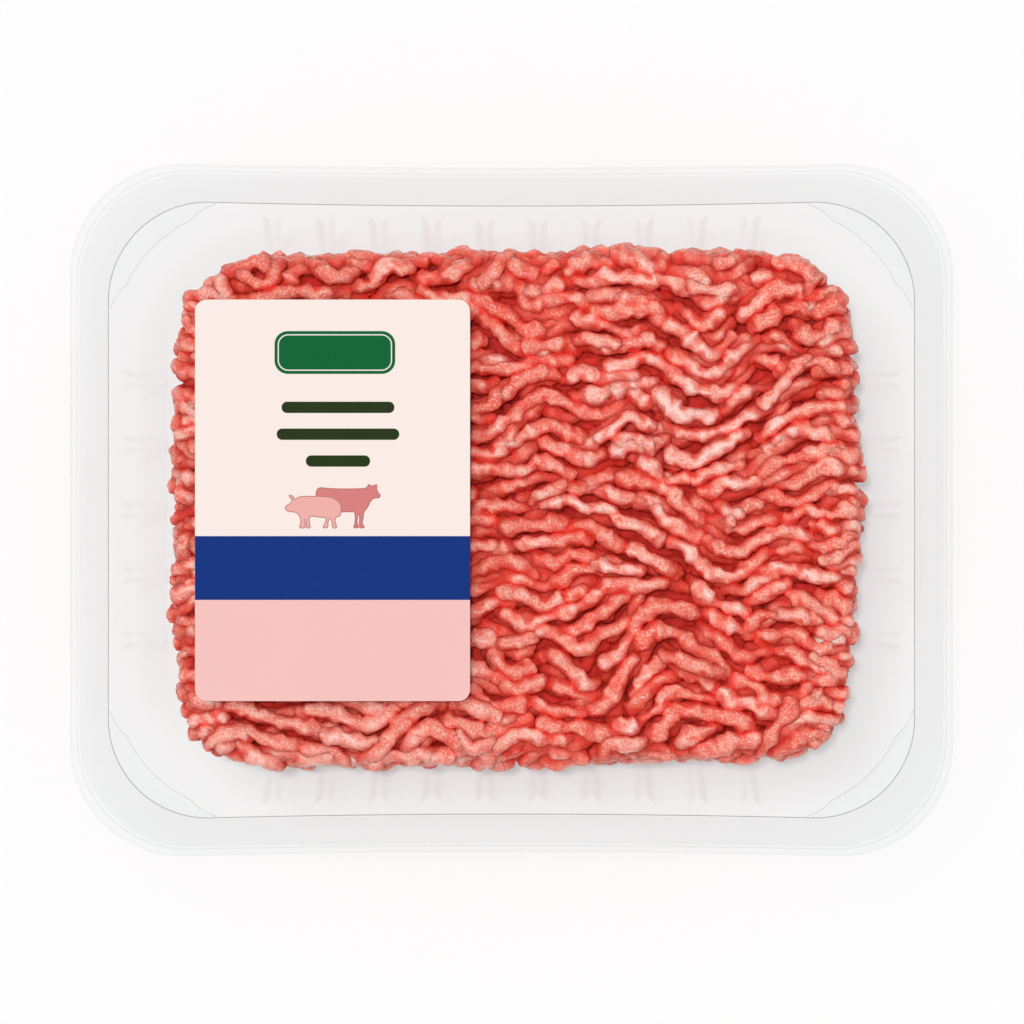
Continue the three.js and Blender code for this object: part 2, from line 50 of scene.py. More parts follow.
# The tray, in millimetres, as in the part's source
TRAY_LENGTH = 227.0
TRAY_WIDTH = 178.0
TRAY_HEIGHT = 50.0
SHEET = 0.35
FLANGE_WIDTH = 9.8
FLANGE_MIDDLE = FLANGE_WIDTH / 2
RIM_WIDTH = 1.6
LEDGE_Z = TRAY_HEIGHT - 3.5
LEDGE_WIDTH = 2.4
FLANGE_CORNER = 28.5
COLLAR_CORNER = 25.6
WALL_CORNER = 33.0
BASE_CORNER = 25.0
WALL_RUN = 10.5
BASE_FILLET = 4.5

# Ribs on the walls: their number and pitch on a side, and their sizes
LONG_RIBS = (10, 13.7)
SHORT_RIBS = (5, 16.8)
RIB_WIDTH = 6.6
RIB_BASE = 0.8
RIB_FADE = 0.6
RIB_MARGIN = 0.6

# Points along a ribbed side, beyond its ribs and round a corner, and rings down the wall
LONG_STEPS = 220
SHORT_STEPS = 140
TAIL_STEPS = 12
ARC_STEPS = 90
WALL_STEPS = 9

# The tray's profile from its edge inwards: inset, and drop from its top
RIM_PROFILE = [
    (0.0, 2.4), (0.0, 1.75), (0.08, 1.4), (0.3, 1.15), (0.6, 1.05), (1.3, 1.0),
    (1.45, 0.95), (1.58, 0.1), (1.75, 0.0), (2.3, 0.0),
]
# From the flange's inner edge down to the ledge
COLLAR_PROFILE = [
    (-0.6, 0.0), (-0.35, 0.0), (-0.2, 0.03), (-0.05, 0.18), (0.0, 0.4), (0.02, 0.7),
    (0.08, 2.9), (0.2, 3.3), (0.4, 3.47), (0.6, 3.5), (0.8, 3.5),
]
# From the ledge over the wall's rounded top: inset, drop and rib depth
LEDGE_PROFILE = [
    (-0.9, 0.0, 1.8), (-0.5, 0.1, 2.1), (-0.1, 0.5, 2.3), (0.15, 1.2, 2.3), (0.5, 2.4, 2.2),
]
# A ring this far behind a bend keeps the bend's shading off the flat.
SUPPORT_GAP = 0.2
# The collar's sheet is drawn out thinner, and the rim's edge looks fainter than the collar's.
COLLAR_THINNING = 0.3
RIM_EDGE = 0.6
SEAL_MARGIN = 0.3

# A corner shelf: its hooked end, from the collar to the wall's top, then its arc
LUG_HOOK = [
    (103.5, 51.6), (102.9, 53.1), (101.9, 54.9), (100.7, 56.7), (99.6, 57.7), (99.05, 58.35),
]
LUG_RADIUS = 34.0
LUG_ANGLE = 26.5
LUG_HEIGHT = 1.1
LUG_LEAN = 0.22
LUG_SINK = 0.3
LUG_GAP = 0.1
HOOK_STEPS = 10
LUG_STEPS = 60

# The film, the label, and the print on it, whose layers rise by a step
FILM_Z = 50.05
FILM_THICKNESS = 0.15
FILM_RINGS = (1.0, 0.995, 0.95, 0.9, 0.8, 0.65, 0.5, 0.35, 0.2, 0.1, 0.02)
LABEL_LENGTH = 70.7
LABEL_WIDTH = 103.2
LABEL_CORNER = 3.0
LABEL_CENTRE = (-46.0, 2.5)
LABEL_Z = 50.23
LABEL_THICKNESS = 0.14
PRINT_THICKNESS = 0.05
PRINT_STEP = 0.02

# The print: the badge's layers with their length, width and corner, and the places and sizes
# of the rest, as drops from the label's top edge and shifts from its middle
BADGE = [
    ("print_badge", (31, 11, 3.4), "green", "print_green", "label_badge"),
    ("print_badge_line", (29.4, 9.4, 2.7), "paper", "label_paper", None),
    ("print_badge_field", (28.8, 8.8, 2.4), "green", "print_green", None),
]
BAND_DROP = 60.8
BAND_WIDTH = 16.4
BADGE_DROP = 13.6
BADGE_SHIFT = 0.6
BAR_LENGTHS = (29.0, 31.5, 16.5)
BAR_DROP = 27.7
BAR_PITCH = 6.9
BAR_WIDTH = 2.9
BAR_CORNER = 1.4
BAR_SHIFT = 1.4
FIGURE_DROP = 58.5
FIGURE_EDGE = 0.14
FIGURE_INSET = -0.1

# The block of mince: its corners' radii anticlockwise from +X +Y, and how its sides bow and lean
MINCE_LENGTH = 177.4
MINCE_WIDTH = 132.0
MINCE_CENTRE = (1.4, 0.5)
MINCE_CORNERS = (16.5, 17.0, 16.0, 13.5)
MINCE_SLOPE = 0.017
BULGE_RIGHT = 0.06
BULGE_LEFT = 0.035
BULGE_ACROSS = 0.03
BASE_ROUNDING = 7
CORE_TOP = 42.4
SIDE_LEAN = 4.0
END_LEAN = 3.6
LEAN_TOP = 19.0
MEAT_FLOOR = 0.5
TOP_ROUNDING = 7.0

# Strands: how they are laid, and each top layer's seed, gap, lengths, drop, turn, ripple,
# points around and step along
STRAND_RADIUS = 2.15
STRAND_STEP = 0.8
EDGE_MARGIN = 0.6
ROW_SHARE = 0.27
START_PITCH = 9.0
START_SHARE = 0.96
NEAR_SHARE = 0.64
LAYERS = {
    "mince_top": (7, 4.3, (12, 46), 0.0, 0.0, 1.1, 13, 0.75),
    "mince_under": (10, 4.6, (12, 36), -2.4, 0.25, 1.0, 11, 1.0),
    "mince_loose": (11, 24.0, (7, 16), 1.7, 0.35, 1.4, 11, 0.85),
}
SIDE_SEED = 8
SIDE_START = 3.2
SIDE_PITCH = 3.9
END_SEED = 9
END_START = 4.5
END_PITCH = 4.1
OUTLINE_STEP = 0.5

# The core's rings: inset and height, then the shares that close its top
CORE_RINGS = [
    (9, 1.0), (7.5, 1.2), (6.5, 4), (5, 12), (3.8, 20), (3.6, 34), (4.6, 36.5), (8, 37.8),
]
CORE_SHARES = (0.75, 0.45, 0.02)
CORE_STEPS = 180
CLOSED = 0.02

# Where strands meet: the meat's relief from above and from its unrolled sides, in cells, how it
# is spread and softened, and how far below it a crease's painted shade is at its reddest
RELIEF_CELL = 0.35
TOP_RELIEF = (560, 430)
SIDE_RELIEF = (1800, 160)
RELIEF_SPREAD = 2
RELIEF_SOFTENING = 9
CREASE_DEPTH = 0.9

# How the strands run: the usual angle from x and its weight, then the places where they turn,
# with their reach and angle
CALM_WEIGHT = 0.12
CALM_ANGLE = 2.0
FLOW = [
    (40.0, -7.3, 15, 11, -40), (63.9, -12.0, 7, 9, 30), (76.0, -13.5, 8, 8, -8),
    (79.6, -31.8, 8, 10, -28), (67.4, -32.9, 6, 8, 18), (30.7, -41.1, 7, 17, 62),
    (26.2, -27.0, 8, 7, 42), (49.4, -36.4, 11, 14, -38), (38.5, -50.5, 5, 8, 58),
    (13.3, -37.0, 5, 7, -42), (20.8, -34.5, 4, 8, 50), (-3.6, -40.5, 5, 8, -48),
    (4.4, -38.8, 5, 7, 22), (42.4, 49.7, 6, 9, -48), (40.0, 28.8, 7, 9, -40),
    (47.0, 39.3, 5, 8, -44), (56.9, 41.6, 6, 11, 46), (63.3, 25.3, 8, 7, 40),
    (59.8, 16.0, 9, 6, 28), (1.6, 23.0, 6, 9, 36), (14.4, 24.1, 6, 5, -24),
    (13.3, 12.5, 5, 6, -24), (26.7, 18.3, 5, 6, 32), (37.7, 15.5, 7, 7, -22),
    (-1.9, 47.4, 6, 9, -32), (-45.5, -58.5, 7, 6, -32), (-31.0, -57.5, 7, 8, 42),
    (-70.6, -57.0, 7, 5, -20), (27.5, -57.4, 4, 5, -45), (66.0, 51.0, 6, 6, 35),
    (74.0, 45.0, 5, 6, -30),
]

# The studio: each light's name, strength, disc in degrees and direction
WORLD_LIGHT = 0.5
LIGHTS = [
    ("key", 0.8, 22, (0.25, -0.23, -1.0)),
    ("overhead", 1.62, 4.0, (0.055, -0.052, -1.0)),
]
FLOOR_HALF = 6.0
FLOOR_Z = -0.0002
CAMERA_PLACE = (0.00013, -0.0005, 2.5)
SENSOR_WIDTH = 36.0
FRAME_PIXELS = 1024
TRAY_PIXELS = 883.0
WHITE = (255, 255, 255)


# Noise and curves


def lattice(cells, seed):
    """Repeatable numbers from -1 to 1 for whole-number cells."""
    mixed = cells[..., 0] * 73856093 ^ cells[..., 1] * 19349663 ^ cells[..., 2] * 83492791
    mixed = (mixed + seed * 2654435761) & 0xFFFFFFFF
    mixed = ((mixed ^ (mixed >> 16)) * 0x45D9F3B) & 0xFFFFFFFF
    mixed = ((mixed ^ (mixed >> 16)) * 0x45D9F3B) & 0xFFFFFFFF
    mixed = mixed ^ (mixed >> 16)
    return (mixed & 0xFFFFFF) / float(0x7FFFFF) - 1.0


def noise(points, size, seed=0):
    """Smooth noise from -1 to 1 at points, with features of about that size."""
    scaled = np.asarray(points, dtype=float) / size
    base = np.floor(scaled).astype(np.int64)
    part = scaled - base
    part = part * part * (3 - 2 * part)
    total = 0.0
    for corner in range(8):
        step = np.array([corner & 1, (corner >> 1) & 1, (corner >> 2) & 1])
        weight = np.prod(np.where(step, part, 1 - part), axis=-1)
        total = total + weight * lattice(base + step, seed)
    return total


def resample(line, step):
    """The line as points about step apart."""
    line = np.asarray(line, dtype=float)
    lengths = np.linalg.norm(np.diff(line, axis=0), axis=1)
    along = np.concatenate([[0.0], np.cumsum(lengths)])
    count = max(3, int(round(along[-1] / step)) + 1)
    wanted = np.linspace(0, along[-1], count)
    return np.stack([np.interp(wanted, along, line[:, i]) for i in range(3)], axis=1)


QUARTERS = ((1, 1), (-1, 1), (-1, -1), (1, -1))


def circle(turn):
    """Points on a circle of radius 1 at angles."""
    return np.column_stack([np.cos(turn), np.sin(turn)])


def unit(rows, least=0.0):
    """Rows scaled to a length of 1; least keeps a row of zeros from dividing by zero."""
    return rows / (np.linalg.norm(rows, axis=-1, keepdims=True) + least)


def raised(flat, z):
    """Flat points set at a height."""
    return np.column_stack([flat, np.full(len(flat), float(z))])


def smooth_path(padded, steps):
    """A smooth line through points, from the second of them up to the last but one."""
    result = []
    for before, start, end, after in zip(padded, padded[1:], padded[2:], padded[3:]):
        for share in np.linspace(0, 1, steps, endpoint=False):
            result.append(curve_point(before, start, end, after, share))
    return np.array(result)


def curve_point(before, start, end, after, share):
    """A place between start and end on the smooth curve through four points."""
    return 0.5 * (
        2 * start
        + (end - before) * share
        + (2 * before - 5 * start + 4 * end - after) * share**2
        + (3 * start - before - 3 * end + after) * share**3
    )


def smooth(line, times):
    """The line with its bends eased."""
    for _ in range(times):
        line[1:-1] = 0.5 * line[1:-1] + 0.25 * (line[:-2] + line[2:])
    return line


def rounded(half_x, half_y, radii, steps):
    """A rectangle's outline from +X anticlockwise, with a radius for each of its corners."""
    points = []
    for i, (sign_x, sign_y) in enumerate(QUARTERS):
        centre = np.array([sign_x * (half_x - radii[i]), sign_y * (half_y - radii[i])])
        turn = i * np.pi / 2 + np.linspace(0, np.pi / 2, steps)
        points.append(centre + radii[i] * circle(turn))
    return np.concatenate(points)


def placed(name, data):
    """An object in the scene that shows this data."""
    piece = bpy.data.objects.new(name, data)
    bpy.context.collection.objects.link(piece)
    return piece


class Build:
    """Gathers rings of points into one mesh, with a few numbers for each point."""

    def __init__(self):
        self.points = []
        self.faces = []
        self.facts = {}
        self.count = 0

    def grid(self, rings, closed=True, flip=False, **facts):
        """Skins rings given as an array of ring, point and coordinate."""
        rows, around = rings.shape[:2]
        index = self.count + np.arange(rows * around).reshape(rows, around)
        following = np.roll(index, -1, axis=1)
        if not closed:
            index, following = index[:, :-1], index[:, 1:]
        quads = np.stack([index[:-1], following[:-1], following[1:], index[1:]], axis=-1)
        quads = quads.reshape(-1, 4)
        self.faces.append(quads[:, ::-1] if flip else quads)
        self.points.append(rings.reshape(-1, 3))
        for name, value in facts.items():
            spread = np.broadcast_to(np.asarray(value, dtype=float), (rows, around))
            self.facts.setdefault(name, []).append(spread.reshape(-1))
        self.count += rows * around

    def mesh(self, name, material, slot, node=None):
        """The gathered mesh as a shaded piece that rides on the part."""
        points = np.concatenate(self.points) * MM
        quads = np.concatenate(self.faces)
        data = bpy.data.meshes.new(name)
        data.vertices.add(len(points))
        data.vertices.foreach_set("co", points.ravel())
        data.loops.add(quads.size)
        data.loops.foreach_set("vertex_index", quads.ravel().astype(np.int32))
        data.polygons.add(len(quads))
        data.polygons.foreach_set("loop_start", np.arange(0, quads.size, 4, dtype=np.int32))
        data.polygons.foreach_set("use_smooth", np.ones(len(quads), dtype=bool))
        for fact, values in self.facts.items():
            layer = data.attributes.new(fact, "FLOAT", "POINT")
            layer.data.foreach_set("value", np.concatenate(values).astype(np.float32))
        data.update(calc_edges=True)
        data.validate()
        return dress(data, name, material, node)


def dress(data, name, material, node=None):
    """Adds mesh data to the scene as a piece of the part."""
    piece = placed(name, data)
    data.materials.append(material)
    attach(piece, "root")
    if node:
        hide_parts(node)
    return piece


# Materials


def grey(level):
    return (level, level, level, 1.0)


def colour(red, green, blue):
    """A colour given by its 8-bit screen values, as linear numbers."""
    linear = []
    for value in (red, green, blue):
        share = value / 255
        linear.append(share / 12.92 if share <= 0.04045 else ((share + 0.055) / 1.055) ** 2.4)
    return (*linear, 1.0)


class Shading:
    """A new material and the nodes that shade it."""

    def __init__(self, name):
        self.material = bpy.data.materials.new(name)
        self.material.use_nodes = True
        self.nodes = self.material.node_tree.nodes
        self.link = self.material.node_tree.links.new
        self.nodes.clear()
        self.output = self.nodes.new("ShaderNodeOutputMaterial")
        self.place = self.nodes.new("ShaderNodeTexCoord").outputs["Object"]

    def node(self, kind, inputs, **settings):
        """A new node with its settings, and its inputs set or linked by name or number."""
        node = self.nodes.new(kind)
        for name, value in settings.items():
            setattr(node, name, value)
        for name, value in inputs.items():
            if isinstance(value, bpy.types.NodeSocket):
                self.link(value, node.inputs[name])
            else:
                node.inputs[name].default_value = value
        return node

    def noise(self, scale, detail, roughness):
        """Smooth noise over the piece, with that many features a metre."""
        inputs = {"Vector": self.place, "Scale": scale, "Detail": detail, "Roughness": roughness}
        return self.node("ShaderNodeTexNoise", inputs).outputs["Fac"]

    def ramp(self, value, *stops):
        """A colour ramp whose stops are (position, colour)."""
        node = self.node("ShaderNodeValToRGB", {"Fac": value})
        elements = node.color_ramp.elements
        for i, (position, shade) in enumerate(stops):
            element = elements[i] if i < 2 else elements.new(position)
            element.position = position
            element.color = shade
        return node.outputs["Color"]

    def remap(self, value, low, high, to_low, to_high):
        """The value with the span from low to high moved to another one, and held at its ends."""
        spans = {"From Min": low, "From Max": high, "To Min": to_low, "To Max": to_high}
        return self.node("ShaderNodeMapRange", {"Value": value, **spans}).outputs["Result"]

    def mix(self, share, first, second):
        """The first colour with a share of the second."""
        inputs = {"Factor": share, 6: first, 7: second}
        return self.node("ShaderNodeMix", inputs, data_type="RGBA").outputs[2]

    def maths(self, kind, first, second):
        return self.node("ShaderNodeMath", {0: first, 1: second}, operation=kind).outputs[0]

    def fact(self, name):
        """A number that the mesh keeps for each point."""
        return self.node("ShaderNodeAttribute", {}, attribute_name=name).outputs["Fac"]

    def bump(self, height, distance, strength):
        inputs = {"Height": height, "Distance": distance, "Strength": strength}
        return self.node("ShaderNodeBump", inputs).outputs["Normal"]

    def surface(self, inputs, **settings):
        """A principled shader."""
        return self.node("ShaderNodeBsdfPrincipled", inputs, **settings).outputs[0]

    def finish(self, shader):
        """The material with the shader as its surface."""
        self.link(shader, self.output.inputs["Surface"])
        return self.material


def meat_material():
    """Moist minced meat: speckled pink strands, paler where fatty and at painted crest highlights,
    redder in gaps as painted shade.
    """
    shading = Shading("meat")
    depth = shading.fact("depth")
    patches = shading.noise(330.0, 3.0, 0.6)
    grain = shading.noise(1500.0, 3.0, 0.7)
    shade = shading.maths("ADD", shading.fact("tone"), shading.maths("MULTIPLY", patches, 1.1))
    flesh = shading.ramp(
        shading.remap(shade, 0.3, 1.6, 0.0, 1.0),
        (0.0, colour(230, 103, 86)),
        (0.4, colour(236, 140, 123)),
        (0.7, colour(247, 182, 166)),
        (1.0, colour(253, 228, 218)),
    )
    speckle = shading.remap(grain, 0.5, 0.68, 0.0, 0.9)
    flecked = shading.mix(speckle, flesh, colour(255, 220, 204))
    pits = shading.remap(grain, 0.47, 0.3, 0.0, 0.7)
    mottled = shading.mix(pits, flecked, colour(236, 76, 58))
    # Painted shade: the deeper a point lies between strands, or the more its flank turns from the
    # light, the redder it is.
    painted_shade_share = shading.ramp(depth, (0.0, grey(0.0)), (0.5, grey(0.62)), (1.0, grey(1.0)))
    flank_shade = shading.ramp(depth, (0.35, colour(240, 98, 80)), (1.0, colour(222, 60, 48)))
    height = shading.maths("ADD", grain, shading.maths("MULTIPLY", patches, 1.6))
    shader = shading.surface(
        {
            "Base Color": shading.mix(painted_shade_share, mottled, flank_shade),
            "Subsurface Weight": 0.85,
            "Subsurface Radius": (1.0, 0.22, 0.14),
            "Subsurface Scale": 0.0028,
            "Roughness": 0.27,
            # Painted shade also dims the gloss deep between the strands.
            "Specular IOR Level": shading.remap(depth, 0.2, 0.8, 0.4, 0.05),
            "Normal": shading.bump(height, 0.0009, 0.9),
        },
        subsurface_method="BURLEY",
    )
    return shading.finish(shader)


def core_material():
    """The wet meat between the strands, in a dark red that is painted shade for the gaps."""
    shading = Shading("meat_core")
    patches = shading.noise(300.0, 4.0, 0.6)
    flesh = shading.ramp(patches, (0.35, colour(172, 32, 29)), (0.65, colour(214, 52, 45)))
    shader = shading.surface(
        {
            "Base Color": flesh,
            "Roughness": 0.6,
            "Specular IOR Level": 0.06,
            "Normal": shading.bump(patches, 0.001, 0.6),
        }
    )
    return shading.finish(shader)


def clear_material(name, tint, seal_tint, wall_edge, rim_edge, gloss_start, gloss, roughness):
    """Thin clear plastic: see-through where it faces the eye, greyer and glossy at a slant.

    The walls keep a faint edge, and the flange, its rim and its collar a darker one.
    """
    shading = Shading(name)
    facing = shading.node("ShaderNodeLayerWeight", {"Blend": 0.35}).outputs["Facing"]
    body = shading.mix(shading.fact("seal"), colour(*tint), colour(*seal_tint))
    edge = shading.ramp(facing, (0.62, grey(0.0)), (0.8, grey(1.0)))
    edge_tint = shading.mix(shading.fact("edge"), colour(*wall_edge), colour(*rim_edge))
    seen_through = shading.mix(edge, body, edge_tint)
    clear = shading.node("ShaderNodeBsdfTransparent", {"Color": seen_through}).outputs[0]
    plastic = shading.surface(
        {
            "Base Color": colour(246, 246, 247),
            "Roughness": roughness,
            "Specular IOR Level": 0.5,
            "Normal": shading.bump(shading.noise(45.0, 2.0, 0.5), 0.001, 0.15),
        }
    )
    share = shading.remap(facing, gloss_start, 1.0, 0.0, gloss)
    mixed = shading.node("ShaderNodeMixShader", {0: share, 1: clear, 2: plastic}).outputs[0]
    return shading.finish(mixed)


def print_material(name, ink, mottle=0.03):
    """Ink or paper: even colour with a faint fibre and a smooth semi-gloss face."""
    shading = Shading(name)
    fibre = shading.noise(900.0, 4.0, 0.6)
    cloud = shading.noise(60.0, 2.0, 0.5)
    base = colour(*ink)
    darker = (*(value * (1 - mottle) for value in base[:3]), 1.0)
    shader = shading.surface(
        {
            "Base Color": shading.mix(cloud, base, darker),
            "Roughness": shading.remap(fibre, 0.0, 1.0, 0.44, 0.56),
            "Specular IOR Level": 0.04,
            "Normal": shading.bump(fibre, 0.0001, 0.3),
        }
    )
    return shading.finish(shader)


def floor_material():
    """A plain white light table: a matte top with an even glow from below."""
    shading = Shading("floor")
    shader = shading.surface(
        {
            "Base Color": shading.mix(shading.noise(3.0, 2.0, 0.5), grey(0.515), grey(0.525)),
            "Roughness": 1.0,
            "Specular IOR Level": 0.0,
            "Emission Color": grey(1.0),
            "Emission Strength": 0.345,
        }
    )
    return shading.finish(shader)


# Tray


def rib_shape(distance):
    """How far a rib stands out at a distance from its middle, as a share."""
    share = np.clip(1 - np.abs(distance) / (RIB_WIDTH / 2), 0, 1)
    return share * share * (3 - 2 * share)


def side_run(straight, ribbed, steps):
    """Places along a side: evenly over its ribbed stretch, and on to where its corners begin."""
    tail = np.linspace(ribbed, straight, TAIL_STEPS)[1:]
    return np.concatenate([-tail[::-1], np.linspace(-ribbed, ribbed, steps), tail])


def tray_ring(inset, z, corner, bow, rib):
    """One ring of the tray's surface: its outline at an inset, with ribs."""
    half_length = TRAY_LENGTH / 2 - inset
    half_width = TRAY_WIDTH / 2 - inset
    points = []
    sides = [
        (half_length, half_width, SHORT_RIBS, SHORT_STEPS, 0.0),
        (half_width, half_length, LONG_RIBS, LONG_STEPS, 1.0),
    ]
    for quarter in range(4):
        out, along_half, (count, pitch), steps, bowed = sides[quarter % 2]
        middles = (np.arange(count) - (count - 1) / 2) * pitch
        straight = along_half - corner
        run = side_run(straight, middles[-1] + RIB_WIDTH / 2 + RIB_MARGIN, steps)
        bump = sum(rib_shape(run - middle) for middle in middles)
        sag = bowed * bow * np.clip(1 - (run / straight) ** 2, 0, 1)
        side = np.stack([out - rib * bump - sag, run], axis=1)
        turn = np.linspace(0, np.pi / 2, ARC_STEPS)[1:-1]
        arc_x = out - corner + corner * np.cos(turn)
        arc_y = along_half - corner + corner * np.sin(turn)
        both = np.concatenate([side, np.stack([arc_x, arc_y], axis=1)])
        angle = quarter * np.pi / 2
        spin = np.array([[math.cos(angle), math.sin(angle)], [-math.sin(angle), math.cos(angle)]])
        points.append(both @ spin)
    return raised(np.concatenate(points), z)


def tray_sections():
    """The tray's upper face from its rim to its base: inset, height, corner, bow and rib depth."""
    wall_top = FLANGE_WIDTH + LEDGE_WIDTH
    wall_base = wall_top + WALL_RUN
    middle_corner = (FLANGE_CORNER + COLLAR_CORNER) / 2
    rings = [(inset, TRAY_HEIGHT - drop, FLANGE_CORNER, 1, 0) for inset, drop in RIM_PROFILE]
    rings.append((RIM_PROFILE[-1][0] + SUPPORT_GAP, TRAY_HEIGHT, FLANGE_CORNER, 1, 0))
    rings.append((FLANGE_MIDDLE, TRAY_HEIGHT, middle_corner, 1, 0))
    for inset, drop in COLLAR_PROFILE:
        rings.append((FLANGE_WIDTH + inset, TRAY_HEIGHT - drop, COLLAR_CORNER - inset, 1, 0))
    for inset, drop, rib in LEDGE_PROFILE:
        rings.append((wall_top + inset, LEDGE_Z - drop, WALL_CORNER, 1, rib))
    start_inset, start_drop, rib_top = LEDGE_PROFILE[-1]
    low = BASE_FILLET + SHEET
    for share in np.linspace(0, 1, WALL_STEPS + 1)[1:]:
        inset = wall_top + start_inset + (WALL_RUN - start_inset) * share
        z = LEDGE_Z - start_drop + (low - LEDGE_Z + start_drop) * share
        corner = WALL_CORNER + (BASE_CORNER - WALL_CORNER) * share
        rings.append((inset, z, corner, 1 - share, rib_top + (RIB_BASE - rib_top) * share))
    for share in (0.25, 0.5, 0.75, 1.0):
        across = BASE_FILLET * (1 - math.cos(share * math.pi / 2))
        z = SHEET + BASE_FILLET * (1 - math.sin(share * math.pi / 2))
        rib = RIB_BASE * (1 - RIB_FADE * share)
        rings.append((wall_base + across, z, BASE_CORNER - across, 0, rib))
    return rings


def make_tray(material):
    """The whole tray as a closed thin shell: its upper face, and a lower one a sheet away."""
    sections = tray_sections()
    inset = np.array([section[0] for section in sections])
    height = np.array([section[1] for section in sections])
    across = np.stack([np.gradient(inset), np.gradient(height)], axis=1)
    across = np.abs(unit(across))
    in_collar = (inset >= FLANGE_MIDDLE) & (height > LEDGE_Z - 0.01)
    lower_sections = []
    for section, (flat, steep), collar in zip(sections, across, in_collar):
        ring_inset, z, corner, bow, rib = section
        away = -SHEET if ring_inset > RIM_WIDTH else SHEET
        away *= COLLAR_THINNING if collar else 1.0
        z = max(z - SHEET * flat, 0.0)
        lower_sections.append((ring_inset + away * steep, z, corner, bow, rib))
    upper = np.stack([tray_ring(*section) for section in sections])
    lower = np.stack([tray_ring(*section) for section in lower_sections])
    sealed = (inset > RIM_PROFILE[-1][0]) & (inset < FLANGE_WIDTH - SEAL_MARGIN)
    sealed = sealed.astype(float)[:, None]
    edge = np.where(inset < FLANGE_MIDDLE, RIM_EDGE, np.where(in_collar, 1.0, 0.0))[:, None]
    build = Build()
    build.grid(upper, flip=True, seal=sealed, edge=edge)
    build.grid(lower, seal=sealed, edge=edge)
    build.grid(np.stack([upper[0], lower[0]]), seal=0, edge=RIM_EDGE)
    for ring, z, flip in ((upper[-1], SHEET, True), (lower[-1], 0.0, False)):
        base = np.stack([ring, ring * 0.5, ring * CLOSED])
        base[:, :, 2] = z
        build.grid(base, flip=flip, seal=0, edge=0)
    return build.mesh("tray_shell", material, "clear_tray", "tray")


def make_lugs(material):
    """The raised shelves in the tray's corners, each with a hooked step at both ends."""
    corner = np.array([TRAY_LENGTH / 2, TRAY_WIDTH / 2])
    centre = corner - (FLANGE_WIDTH + LEDGE_WIDTH + WALL_CORNER)
    line = np.array(LUG_HOOK)
    hook = smooth_path(np.concatenate([line[:1], line, line[-1:]]), HOOK_STEPS)
    hook = np.concatenate([hook, line[-1:]])
    half_turn = np.linspace(LUG_ANGLE, 90 - LUG_ANGLE, LUG_STEPS)[1:-1] * np.pi / 180
    # The other hook is the first one mirrored in the corner's diagonal.
    mirrored = (hook - centre)[::-1, ::-1] + centre
    inner = np.concatenate([hook, centre + LUG_RADIUS * circle(half_turn), mirrored])
    middle = corner - FLANGE_WIDTH - COLLAR_CORNER
    ends = [math.atan2(*(point - middle)[::-1]) for point in (inner[0], inner[-1])]
    turn = np.linspace(*ends, len(inner))
    outer = middle + (COLLAR_CORNER - LUG_GAP) * circle(turn)
    outer[:, 0] = np.where(turn < 0, inner[0, 0], outer[:, 0])
    outer[:, 1] = np.where(turn > np.pi / 2, inner[-1, 1], outer[:, 1])
    ahead = unit(np.gradient(inner, axis=0))
    lean = LUG_LEAN * np.column_stack([-ahead[:, 1], ahead[:, 0]])
    foot = raised(inner + lean, LEDGE_Z - LUG_SINK)
    brow = raised(inner, LEDGE_Z + LUG_HEIGHT)
    back = raised(outer, LEDGE_Z + LUG_HEIGHT)
    build = Build()
    for way_x, way_y in QUARTERS:
        way = [way_x, way_y, 1]
        for rows in ((foot, brow), (brow, back)):
            flip = way_x * way_y < 0
            build.grid(np.stack(rows) * way, closed=False, flip=flip, seal=0, edge=1)
    return build.mesh("tray_lugs", material, "clear_tray", "tray")


# Minced meat


def bulge(x, y):
    """How much the block narrows at a place, as shares of its length and its width."""
    towards_end = (x - MINCE_CENTRE[0]) / (MINCE_LENGTH / 2)
    towards_side = (y - MINCE_CENTRE[1]) / (MINCE_WIDTH / 2)
    along = 1 - np.where(x > MINCE_CENTRE[0], BULGE_RIGHT, BULGE_LEFT) * towards_side**2
    return along, 1 - BULGE_ACROSS * towards_end**4


def depth_inside(x, y):
    """How far a place is inside the block's outline."""
    y = y - MINCE_SLOPE * (x - MINCE_CENTRE[0])
    narrow_x, narrow_y = bulge(x, y)
    along_x = MINCE_LENGTH / 2 - np.abs(x - MINCE_CENTRE[0]) / narrow_x
    along_y = MINCE_WIDTH / 2 - np.abs(y - MINCE_CENTRE[1]) / narrow_y
    right, high = x > MINCE_CENTRE[0], y > MINCE_CENTRE[1]
    first, second, third, fourth = MINCE_CORNERS
    corner = np.where(right, np.where(high, first, fourth), np.where(high, second, third))
    in_corner = (along_x < corner) & (along_y < corner)
    round_depth = corner - np.hypot(corner - along_x, corner - along_y)
    return np.where(in_corner, round_depth, np.minimum(along_x, along_y))


def outward(surface):
    """The level direction that leads out of the block at each point."""
    x, y = surface[..., 0], surface[..., 1]
    across = depth_inside(x - 0.5, y) - depth_inside(x + 0.5, y)
    along = depth_inside(x, y - 0.5) - depth_inside(x, y + 0.5)
    return unit(np.stack([across, along], axis=-1), 1e-9)


def inside_side(points):
    """How far points are inside the block's sides, which lean in towards the base."""
    lean = SIDE_LEAN * np.clip(1 - points[..., 2] / LEAN_TOP, 0, 1)
    return depth_inside(points[..., 0], points[..., 1]) - lean


def top_height(x, y):
    """The height of the block's top under its strands."""
    inside = np.clip(depth_inside(x, y), 0, TOP_ROUNDING)
    drop = TOP_ROUNDING - np.sqrt(TOP_ROUNDING**2 - (TOP_ROUNDING - inside) ** 2)
    roll = 0.5 * np.sin(2 * np.pi * (x / 71 + y / 97)) + 0.4 * np.sin(2 * np.pi * (x / 43 - y / 37))
    return CORE_TOP - drop + roll


